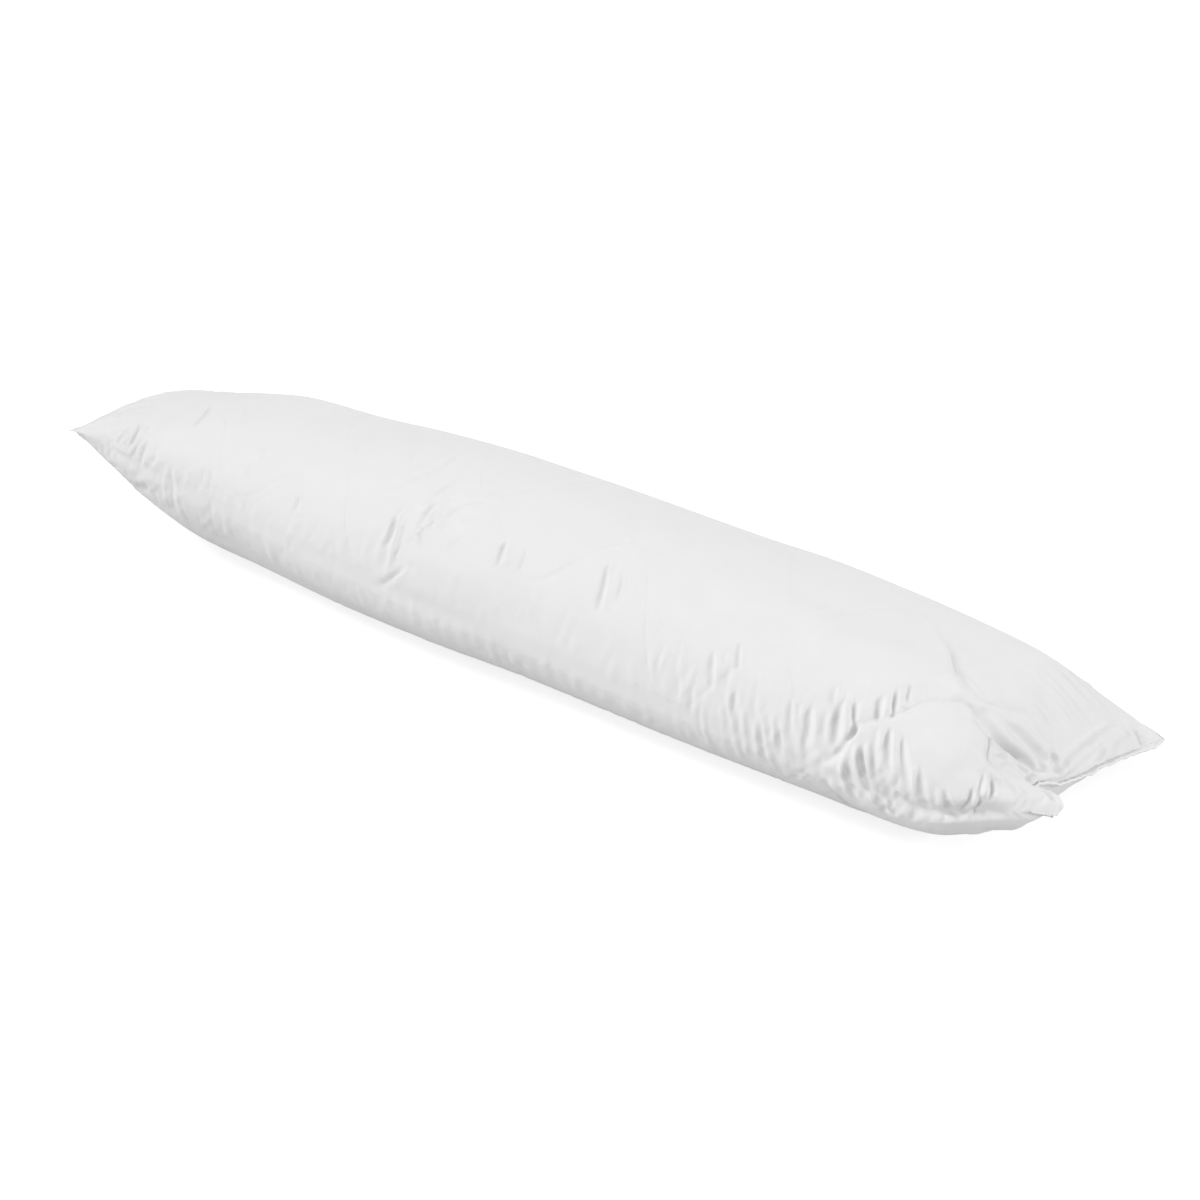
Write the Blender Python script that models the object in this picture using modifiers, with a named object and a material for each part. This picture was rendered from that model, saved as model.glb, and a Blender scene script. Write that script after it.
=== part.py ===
"""Body pillow: a long filled pillow lying on its back, rolled slightly so that its near seam is high.

Units are metres.  +X runs along the pillow, -Y is the near side, +Z is up.  The pillow rests on z = 0
and its bounding box is centred on the origin.

The cover is two flat panels sewn together on all four sides and filled.  A point of the cover is named
by where it lay on the flat panel: `along` (from -0.725 to +0.725) and `across` (from -0.2, the near
seam, to +0.2, the far seam).  A coarse cage of sections is lofted in those terms and subdivided.
"""
import math
from typing import NamedTuple

import bmesh
import bpy
from mathutils import Vector

NAME = "body_pillow"

# ---- the flat cut panels ---------------------------------------------------------------------------
CUT_LENGTH = 1.450
CUT_WIDTH = 0.400
HALF_LENGTH = CUT_LENGTH / 2
HALF_WIDTH = CUT_WIDTH / 2

# ---- the quilting: wavy lines, each the mirror image of the next -------------------------------------
WAVE_LENGTH = 0.210
WAVE_HALF_HEIGHT = 0.047
WAVE_CREST_AT = 0.545
CHANNEL_DEPTH = 0.0050
PUFF_RISE = 0.0030
CHANNEL_CREASE = 0.35
LINE_MEANS = (-0.107, 0.015, 0.137)

# ---- the hem that stands up along the closing seam ---------------------------------------------------
HEM_REACH = 0.006
HEM_THICKNESS = 0.0045
SEAM_PINCH = 0.0025

# ---- the seams and the resting face ------------------------------------------------------------------
SEAM_CREASE = 0.55
EAR_CREASE = 0.80
PRESS_DEPTH = 0.010

STATION_STEP = 0.0290
END_STEPS = (0.010, 0.014, 0.018, 0.022)

FABRIC_COLOUR = (0.90, 0.90, 0.90, 1.0)
FABRIC_ROUGHNESS = 0.75


class Section(NamedTuple):
    """One cross-section: both seams, and how far each panel stands off the line between them."""
    along: float
    near_x: float
    near_y: float
    near_z: float
    far_x: float
    far_y: float
    far_z: float
    crown: float
    belly: float


SECTIONS = (
    #       along   near_x  near_y  near_z   far_x  far_y  far_z  crown   belly
    Section(-0.725, -0.688, -0.150, 0.135, -0.692, 0.150, 0.035, 0.0000, 0.0000),
    Section(-0.712, -0.678, -0.151, 0.136, -0.682, 0.151, 0.034, 0.0180, 0.0190),
    Section(-0.690, -0.658, -0.154, 0.136, -0.662, 0.154, 0.033, 0.0330, 0.0340),
    Section(-0.650, -0.624, -0.161, 0.135, -0.627, 0.161, 0.031, 0.0490, 0.0520),
    Section(-0.580, -0.566, -0.168, 0.131, -0.568, 0.170, 0.027, 0.0690, 0.0750),
    Section(-0.480, -0.475, -0.168, 0.121, -0.476, 0.173, 0.030, 0.0870, 0.0950),
    Section(-0.340, -0.340, -0.167, 0.107, -0.340, 0.170, 0.036, 0.1020, 0.1020),
    Section(-0.150, -0.150, -0.168, 0.094, -0.150, 0.166, 0.041, 0.1150, 0.1020),
    Section(+0.050, +0.050, -0.166, 0.084, +0.050, 0.166, 0.043, 0.1240, 0.0990),
    Section(+0.250, +0.250, -0.166, 0.078, +0.250, 0.170, 0.043, 0.1260, 0.0970),
    Section(+0.400, +0.399, -0.167, 0.077, +0.400, 0.174, 0.041, 0.1200, 0.0930),
    Section(+0.500, +0.494, -0.171, 0.079, +0.498, 0.177, 0.038, 0.1090, 0.0880),
    Section(+0.580, +0.563, -0.166, 0.084, +0.574, 0.177, 0.034, 0.0870, 0.0780),
    Section(+0.640, +0.606, -0.148, 0.090, +0.629, 0.170, 0.031, 0.0650, 0.0620),
    Section(+0.690, +0.643, -0.124, 0.096, +0.668, 0.161, 0.030, 0.0410, 0.0400),
    Section(+0.712, +0.661, -0.113, 0.100, +0.687, 0.157, 0.030, 0.0200, 0.0220),
    Section(+0.725, +0.672, -0.108, 0.102, +0.700, 0.155, 0.030, 0.0000, 0.0000),
)


class SeamPoint(NamedTuple):
    """How far a point of an end seam lies from the straight line between the two ears."""
    across: float
    off_x: float
    off_y: float
    off_z: float


LEFT_SEAM = (
    SeamPoint(-0.200, 0.000, 0.000, 0.000),
    SeamPoint(-0.120, -0.002, 0.000, -0.001),
    SeamPoint(+0.000, -0.005, 0.000, -0.002),
    SeamPoint(+0.120, -0.003, 0.000, -0.001),
    SeamPoint(+0.200, 0.000, 0.000, 0.000),
)

RIGHT_SEAM = (
    # The seam folds in sharply between the near ear and the middle, and runs gently to the far ear.
    SeamPoint(-0.200, 0.000, 0.000, 0.000),
    SeamPoint(-0.150, -0.030, -0.014, 0.003),
    SeamPoint(-0.110, -0.056, -0.024, 0.004),
    SeamPoint(-0.080, -0.066, -0.034, 0.004),
    SeamPoint(-0.045, -0.050, -0.030, -0.002),
    SeamPoint(+0.000, -0.034, -0.016, -0.006),
    SeamPoint(+0.060, -0.024, -0.002, -0.008),
    SeamPoint(+0.120, -0.012, 0.002, -0.004),
    SeamPoint(+0.200, 0.000, 0.000, 0.000),
)
SEAM_FADE = 0.100


def smooth_table(rows, column, at):
    """Read one column of a table at any position, with a smooth curve through its rows."""
    keys = [row[0] for row in rows]
    values = [row[column] for row in rows]
    if at <= keys[0]:
        return values[0]
    if at >= keys[-1]:
        return values[-1]
    slopes = [(b - a) / (q - p) for a, b, p, q in zip(values, values[1:], keys, keys[1:])]
    tangents = [slopes[0]]
    for before, after in zip(slopes, slopes[1:]):
        tangents.append(0.0 if before * after <= 0.0 else 2.0 * before * after / (before + after))
    tangents.append(slopes[-1])
    k = max(i for i, key in enumerate(keys[:-1]) if key <= at)
    span = keys[k + 1] - keys[k]
    u = (at - keys[k]) / span
    start = (1 + 2 * u) * (1 - u) ** 2 * values[k] + u * (1 - u) ** 2 * span * tangents[k]
    end = u * u * (3 - 2 * u) * values[k + 1] + u * u * (u - 1) * span * tangents[k + 1]
    return start + end


def stations():
    """Positions of the lofted sections along the cut panel, closer together near the ends."""
    ends = [HALF_LENGTH]
    for step in END_STEPS:
        ends.append(ends[-1] - step)
    middle = 2 * ends[-1]
    count = round(middle / STATION_STEP)
    inner = [ends[-1] - middle * k / count for k in range(1, count)]
    return sorted([-e for e in ends] + inner + ends)


def quilting_line(number, along):
    """Where a quilting line lies across the panel, at a position along it."""
    mirror = -1.0 if number % 2 else 1.0
    wave = math.cos(2 * math.pi * (along - WAVE_CREST_AT) / WAVE_LENGTH)
    return LINE_MEANS[number] + mirror * WAVE_HALF_HEIGHT * wave


def cross_rows(along):
    """Rows of the cage across one panel: (position, height off the smooth panel, on a sewn line)."""
    lines = [quilting_line(k, along) for k in range(len(LINE_MEANS))]
    edges = [-HALF_WIDTH] + lines + [HALF_WIDTH]
    rows = [(-HALF_WIDTH, 0.0, False)]
    for k, (start, end) in enumerate(zip(edges, edges[1:])):
        fractions = (0.36, 0.70) if k < len(lines) else (0.55,)
        rise = PUFF_RISE * min(1.0, (end - start) / 0.10)
        rows += [(start + f * (end - start), rise, False) for f in fractions]
        if k < len(lines):
            rows.append((end, -CHANNEL_DEPTH, True))
    rows.append((HALF_WIDTH, 0.0, False))
    return rows


def press_flat(height):
    """Flatten what hangs at or below the resting plane, with a smooth turn at its edge."""
    if height <= -PRESS_DEPTH:
        return 0.0
    if height < PRESS_DEPTH:
        return (height + PRESS_DEPTH) ** 2 / (4 * PRESS_DEPTH)
    return height


def seam_line_point(along, across):
    """A point on the surface midway between the panels: between the seams, bent to the end seams."""
    share = (across + HALF_WIDTH) / CUT_WIDTH
    rounded = 0.7 * (1 - math.cos(math.pi * share)) / 2 + 0.3 * share
    near = Vector(smooth_table(SECTIONS, c, along) for c in (1, 2, 3))
    far = Vector(smooth_table(SECTIONS, c, along) for c in (4, 5, 6))
    inset = min(HALF_LENGTH - abs(along), 0.3)
    spread = math.exp(-(inset / SEAM_FADE) ** 2)
    point = near.lerp(far, spread * share + (1 - spread) * rounded)
    table = RIGHT_SEAM if along > 0 else LEFT_SEAM
    offset = Vector(smooth_table(table, c, across) for c in (1, 2, 3))
    outwards = Vector((0.0, near.z - far.z, far.y - near.y)).normalized()
    return point + offset * spread, outwards


def cover_point(along, across, rise, side):
    """A point of the top (side +1) or bottom (side -1) panel of the filled pillow."""
    point, outwards = seam_line_point(along, across)
    share = (across + HALF_WIDTH) / CUT_WIDTH
    arch = max(0.0, math.sin(math.pi * share)) ** 0.92
    stand = smooth_table(SECTIONS, 7 if side > 0 else 8, along) * arch
    sewn = min(1.0, 4.0 * (HALF_WIDTH - abs(across)) / HALF_WIDTH, stand / 0.03)
    return point + outwards * side * (stand + rise * sewn)


def hem_point(across, reach, thickness, side):
    """A point of the hem, `reach` beyond the right end seam."""
    before, _ = seam_line_point(HALF_LENGTH, max(across - 0.01, -HALF_WIDTH))
    after, _ = seam_line_point(HALF_LENGTH, min(across + 0.01, HALF_WIDTH))
    point, outwards = seam_line_point(HALF_LENGTH, across)
    beyond = (after - before).cross(outwards).normalized()
    taper = min(1.0, 6.0 * (HALF_WIDTH - abs(across)) / HALF_WIDTH)
    return point + beyond * reach + outwards * side * (thickness / 2) * taper


def build_cage():
    """Loft the two panels, join them along the seams and close the hem."""
    cage = bmesh.new()
    creases = cage.edges.layers.float.new("crease_edge")
    columns = []
    for along in stations():
        rows = cross_rows(along)
        columns.append([(across, rise, sewn, along) for across, rise, sewn in rows])
    last = columns[-1]
    rings = []
    for column in columns:
        at_left_end = column is columns[0]
        at_right_end = column is last
        panels = []
        for side in (1, -1):
            points = []
            for across, rise, _, along in column:
                if at_right_end:
                    points.append(hem_point(across, 0.0, SEAM_PINCH, side))
                else:
                    points.append(cover_point(along, across, 0.0 if at_left_end else rise, side))
            panels.append(points)
        rings.append(panels)
    for reach, thickness in ((HEM_REACH / 2, HEM_THICKNESS), (HEM_REACH, HEM_THICKNESS * 0.7)):
        rings.append([[hem_point(row[0], reach, thickness, side) for row in last] for side in (1, -1)])

    grid = []
    for number, (top, bottom) in enumerate(rings):
        for points in (top, bottom):
            for point in points:
                point.z = press_flat(point.z)
        upper = [cage.verts.new(point) for point in top]
        lower = [upper[0]] + [cage.verts.new(point) for point in bottom[1:-1]] + [upper[-1]]
        if number == 0:
            for vert in lower[1:-1]:
                cage.verts.remove(vert)
            lower = upper
        grid.append((upper, lower))

    for (upper, lower), (next_upper, next_lower) in zip(grid, grid[1:]):
        for k in range(len(upper) - 1):
            cage.faces.new((upper[k], next_upper[k], next_upper[k + 1], upper[k + 1]))
            cage.faces.new((lower[k + 1], next_lower[k + 1], next_lower[k], lower[k]))
    upper, lower = grid[-1]
    for k in range(len(upper) - 1):
        corners = [upper[k], lower[k], lower[k + 1], upper[k + 1]]
        cage.faces.new(list(dict.fromkeys(corners)))

    def crease(first, second, amount):
        edge = cage.edges.get((first, second))
        if edge is not None:
            edge[creases] = amount

    for number, ((upper, lower), (next_upper, next_lower)) in enumerate(zip(grid, grid[1:])):
        at_ear = number < 3 or number > len(grid) - 7
        for k in (0, -1):
            crease(upper[k], next_upper[k], EAR_CREASE if at_ear else SEAM_CREASE)
        if 2 < number < len(columns) - 4:
            for k, row in enumerate(columns[number]):
                if row[2]:
                    crease(upper[k], next_upper[k], CHANNEL_CREASE)
                    crease(lower[k], next_lower[k], CHANNEL_CREASE)
    left = grid[0][0]
    for k in range(len(left) - 1):
        crease(left[k], left[k + 1], EAR_CREASE)
    return cage


def centre_on_base(cage):
    """Move the cage so that the middle of its footprint is at the origin."""
    xs = [vert.co.x for vert in cage.verts]
    ys = [vert.co.y for vert in cage.verts]
    middle = Vector(((min(xs) + max(xs)) / 2, (min(ys) + max(ys)) / 2, 0.0))
    bmesh.ops.translate(cage, verts=cage.verts, vec=-middle)


def fabric_material():
    """Smooth white fabric."""
    material = bpy.data.materials.new("white_fabric")
    material.use_nodes = True
    shader = material.node_tree.nodes["Principled BSDF"]
    shader.inputs["Base Color"].default_value = FABRIC_COLOUR
    shader.inputs["Roughness"].default_value = FABRIC_ROUGHNESS
    shader.inputs["Metallic"].default_value = 0.0
    return material


def main():
    """Clear the scene and build the pillow."""
    for old in list(bpy.data.objects):
        bpy.data.objects.remove(old, do_unlink=True)
    cage = build_cage()
    centre_on_base(cage)
    mesh = bpy.data.meshes.new(NAME)
    cage.to_mesh(mesh)
    cage.free()
    mesh.materials.append(fabric_material())
    mesh.shade_smooth()
    pillow = bpy.data.objects.new(NAME, mesh)
    smoothing = pillow.modifiers.new("soft_cover", "SUBSURF")
    smoothing.levels = 1
    smoothing.render_levels = 1
    parts = bpy.data.collections.new("long_body_pillow")
    bpy.context.scene.collection.children.link(parts)
    parts.objects.link(pillow)


main()
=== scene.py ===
"""Looks of a long body pillow: a quilted white cover, simulated round its filling, and its closing seam.

Units are metres.  +X runs along the pillow, -Y is the near side, +Z is up and the pillow lies on z = 0.
A place on the cover is named by where it lay on the flat cut panels: `along` runs from the left end to
the closing seam and `across` from the near long seam to the far one.  The two panels together are held
as rings: every ring goes once round the pillow, over the top panel and back under the bottom one.
"""
import logging
import math
from dataclasses import dataclass, field
from enum import Enum
from typing import NamedTuple, Sequence

import bpy
import numpy as np
from mathutils import Matrix, Vector


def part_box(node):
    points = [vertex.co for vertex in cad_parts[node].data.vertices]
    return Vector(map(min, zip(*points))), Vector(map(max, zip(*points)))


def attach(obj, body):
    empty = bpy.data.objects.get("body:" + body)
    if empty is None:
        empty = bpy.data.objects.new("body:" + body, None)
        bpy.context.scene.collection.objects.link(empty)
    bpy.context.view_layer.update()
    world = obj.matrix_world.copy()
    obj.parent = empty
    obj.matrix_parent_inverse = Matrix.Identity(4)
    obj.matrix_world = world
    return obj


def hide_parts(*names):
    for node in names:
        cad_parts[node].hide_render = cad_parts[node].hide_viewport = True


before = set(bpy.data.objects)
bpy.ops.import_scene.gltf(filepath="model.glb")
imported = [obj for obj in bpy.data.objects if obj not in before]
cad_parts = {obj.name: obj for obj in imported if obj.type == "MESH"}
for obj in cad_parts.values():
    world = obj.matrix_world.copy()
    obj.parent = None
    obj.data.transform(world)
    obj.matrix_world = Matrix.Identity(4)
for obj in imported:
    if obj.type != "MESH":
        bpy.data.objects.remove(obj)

BODY = "root"
NODE = "body_pillow"

CUT_LENGTH = 1.450
CUT_WIDTH = 0.400
HALF_LENGTH = CUT_LENGTH / 2
HALF_WIDTH = CUT_WIDTH / 2
MILLIMETRE = 0.001
TINY = 1e-12

log = logging.getLogger("body_pillow")


class Panel(Enum):
    """The two panels of the cover, with the sign of the way that they face."""
    TOP = 1
    BOTTOM = -1


class Section(NamedTuple):
    """One cross-section: both long seams, and how far each panel stands off the line between them."""
    along: float
    near_x: float
    near_y: float
    near_z: float
    far_x: float
    far_y: float
    far_z: float
    crown: float
    belly: float


class SeamPoint(NamedTuple):
    """How far a point of an end seam lies from the straight line between the two ears."""
    across: float
    off_x: float
    off_y: float
    off_z: float


class Bulge(NamedTuple):
    """A rounded lump of filling, or a hollow, that shifts one panel round a place on it."""
    panel: Panel
    along: float
    across: float
    reach: float
    round: float
    shift_x: float
    shift_y: float
    shift_z: float


class LinePoint(NamedTuple):
    """How far across a quilting line strays from its even wave there, and how deep its channel is."""
    along: float
    stray: float
    depth: float


class Spacing(NamedTuple):
    """How closely the points of the finished cover lie at a place, closest where the folds are finest."""
    place: float
    step: float


class Seat(Enum):
    """Where a row of puckers starts."""
    NEAR_SEAM = "near seam"
    FAR_SEAM = "far seam"
    NEAR_LINE = "near quilting line"


class PuckerRow(NamedTuple):
    """A run of small folds that start at a seam or a quilting line and die out away from it."""
    seat: Seat
    panel: Panel
    along_a: float
    along_b: float
    spacing: float
    reach: float
    width: float
    height: float
    slant: float


class Fold(NamedTuple):
    """One fold, placed by the photograph's pixels of its two ends; a trough if height is below 0.

    Its width and height are in millimetres, and its bow is a share of its length.
    """
    x_a: float
    y_a: float
    x_b: float
    y_b: float
    width: float
    height: float
    bow: float = 0.0


SECTIONS = (
    #       along   near_x  near_y  near_z   far_x  far_y  far_z  crown   belly
    Section(-0.725, -0.681, -0.150, 0.136, -0.688, 0.150, 0.035, 0.0000, 0.0000),
    Section(-0.712, -0.671, -0.151, 0.139, -0.678, 0.151, 0.034, 0.0270, 0.0170),
    Section(-0.690, -0.652, -0.154, 0.140, -0.659, 0.154, 0.033, 0.0370, 0.0330),
    Section(-0.650, -0.620, -0.161, 0.137, -0.625, 0.161, 0.031, 0.0380, 0.0520),
    Section(-0.580, -0.564, -0.168, 0.131, -0.567, 0.170, 0.027, 0.0565, 0.0790),
    Section(-0.480, -0.475, -0.168, 0.121, -0.476, 0.173, 0.030, 0.0770, 0.1050),
    Section(-0.400, -0.398, -0.167, 0.113, -0.399, 0.171, 0.034, 0.0810, 0.1030),
    Section(-0.250, -0.250, -0.172, 0.099, -0.250, 0.168, 0.038, 0.1030, 0.1060),
    Section(-0.120, -0.120, -0.173, 0.092, -0.120, 0.166, 0.041, 0.1140, 0.1050),
    Section(+0.050, +0.050, -0.166, 0.084, +0.050, 0.166, 0.043, 0.1160, 0.0990),
    Section(+0.220, +0.220, -0.166, 0.079, +0.220, 0.169, 0.043, 0.1140, 0.0960),
    Section(+0.280, +0.280, -0.166, 0.078, +0.280, 0.171, 0.043, 0.1150, 0.0940),
    Section(+0.400, +0.399, -0.167, 0.077, +0.398, 0.174, 0.041, 0.1070, 0.0840),
    Section(+0.500, +0.494, -0.171, 0.079, +0.495, 0.176, 0.038, 0.0940, 0.0770),
    Section(+0.580, +0.563, -0.166, 0.084, +0.569, 0.177, 0.035, 0.0780, 0.0730),
    Section(+0.640, +0.602, -0.148, 0.098, +0.623, 0.173, 0.035, 0.0580, 0.0680),
    Section(+0.690, +0.633, -0.125, 0.101, +0.665, 0.166, 0.034, 0.0300, 0.0550),
    Section(+0.712, +0.650, -0.113, 0.098, +0.687, 0.162, 0.031, 0.0120, 0.0300),
    Section(+0.725, +0.660, -0.108, 0.096, +0.699, 0.159, 0.028, 0.0000, 0.0000),
)

BULGES = (
    #     panel         along   across  reach  round   shift_x shift_y shift_z
    Bulge(Panel.BOTTOM, +0.650, -0.140, 0.035, 0.035, 0.006, -0.006, -0.010),
    Bulge(Panel.BOTTOM, +0.697, -0.150, 0.026, 0.038, 0.014, -0.007, -0.014),
    Bulge(Panel.BOTTOM, +0.695, +0.030, 0.040, 0.060, -0.004, 0.000, 0.013),
)

LEFT_SEAM = (
    SeamPoint(-0.200, 0.000, 0.000, 0.000),
    SeamPoint(-0.120, -0.002, 0.000, -0.001),
    SeamPoint(+0.000, -0.005, 0.000, -0.002),
    SeamPoint(+0.120, -0.003, 0.000, -0.001),
    SeamPoint(+0.200, 0.000, 0.000, 0.000),
)

RIGHT_SEAM = (
    SeamPoint(-0.200, 0.000, 0.000, 0.000),
    SeamPoint(-0.185, -0.001, 0.000, 0.012),
    SeamPoint(-0.166, -0.016, -0.004, 0.016),
    SeamPoint(-0.145, -0.033, -0.014, 0.013),
    SeamPoint(-0.115, -0.043, -0.022, 0.014),
    SeamPoint(-0.080, -0.036, -0.018, 0.007),
    SeamPoint(-0.045, -0.029, -0.012, 0.001),
    SeamPoint(+0.000, -0.025, -0.010, 0.001),
    SeamPoint(+0.060, -0.023, -0.002, -0.006),
    SeamPoint(+0.120, -0.016, 0.002, -0.008),
    SeamPoint(+0.200, 0.000, 0.000, 0.000),
)

NEAR_LINE = (
    #         along   stray   depth
    LinePoint(-0.725, 0.000, 0.0003),
    LinePoint(-0.300, 0.000, 0.0004),
    LinePoint(-0.170, -0.020, 0.0005),
    LinePoint(+0.045, +0.045, 0.0003),
    LinePoint(+0.254, -0.033, 0.0005),
    LinePoint(+0.350, -0.040, 0.0004),
    LinePoint(+0.409, -0.042, 0.0012),
    LinePoint(+0.425, -0.022, 0.0016),
    LinePoint(+0.442, +0.006, 0.0020),
    LinePoint(+0.454, +0.040, 0.0020),
    LinePoint(+0.464, +0.042, 0.0022),
    LinePoint(+0.480, +0.032, 0.0022),
    LinePoint(+0.502, +0.027, 0.0024),
    LinePoint(+0.528, +0.011, 0.0024),
    LinePoint(+0.560, +0.008, 0.0024),
    LinePoint(+0.610, +0.041, 0.0022),
    LinePoint(+0.660, +0.034, 0.0012),
    LinePoint(+0.725, +0.020, 0.0004),
)

MIDDLE_LINE = (
    LinePoint(-0.725, 0.000, 0.0003),
    LinePoint(+0.350, 0.000, 0.0003),
    LinePoint(+0.461, -0.036, 0.0012),
    LinePoint(+0.496, -0.012, 0.0034),
    LinePoint(+0.540, 0.000, 0.0038),
    LinePoint(+0.571, -0.012, 0.0034),
    LinePoint(+0.610, -0.058, 0.0014),
    LinePoint(+0.640, -0.080, 0.0002),
    LinePoint(+0.725, -0.060, 0.0001),
)

FAR_LINE = (
    LinePoint(-0.725, 0.000, 0.0003),
    LinePoint(+0.400, 0.000, 0.0002),
    LinePoint(+0.725, 0.000, 0.0001),
)

ALONG_SPACINGS = (
    Spacing(-0.725, 0.0030),
    Spacing(-0.500, 0.0038),
    Spacing(+0.100, 0.0036),
    Spacing(+0.250, 0.0023),
    Spacing(+0.725, 0.0020),
)

ACROSS_SPACINGS = (
    Spacing(-0.200, 0.0031),
    Spacing(+0.000, 0.0031),
    Spacing(+0.080, 0.0048),
    Spacing(+0.200, 0.0048),
)

PUCKER_ROWS = (
    #         seat            panel          from     to   spacing reach  width   height  slant
    PuckerRow(Seat.NEAR_SEAM, Panel.TOP,    -0.700, -0.560, 0.016, 0.060, 0.0037, 0.0009, 0.20),
    PuckerRow(Seat.NEAR_SEAM, Panel.TOP,    -0.560, -0.180, 0.021, 0.050, 0.0040, 0.0007, 0.15),
    PuckerRow(Seat.NEAR_SEAM, Panel.TOP,    -0.180, +0.180, 0.019, 0.055, 0.0040, 0.0007, 0.12),
    PuckerRow(Seat.NEAR_SEAM, Panel.TOP,    +0.180, +0.440, 0.011, 0.060, 0.0037, 0.0006, -0.20),
    PuckerRow(Seat.NEAR_SEAM, Panel.TOP,    +0.440, +0.660, 0.013, 0.045, 0.0042, 0.0006, -0.15),
    PuckerRow(Seat.NEAR_SEAM, Panel.BOTTOM, -0.680, +0.600, 0.018, 0.050, 0.0047, 0.0010, 0.10),
    PuckerRow(Seat.FAR_SEAM,  Panel.TOP,    -0.680, +0.620, 0.020, 0.050, 0.0045, 0.0013, 0.10),
    PuckerRow(Seat.FAR_SEAM,  Panel.BOTTOM, -0.700, +0.700, 0.019, 0.050, 0.0047, 0.0014, -0.10),
    PuckerRow(Seat.NEAR_LINE, Panel.TOP,    +0.150, +0.420, 0.012, 0.045, 0.0037, 0.0005, 0.10),
)

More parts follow.
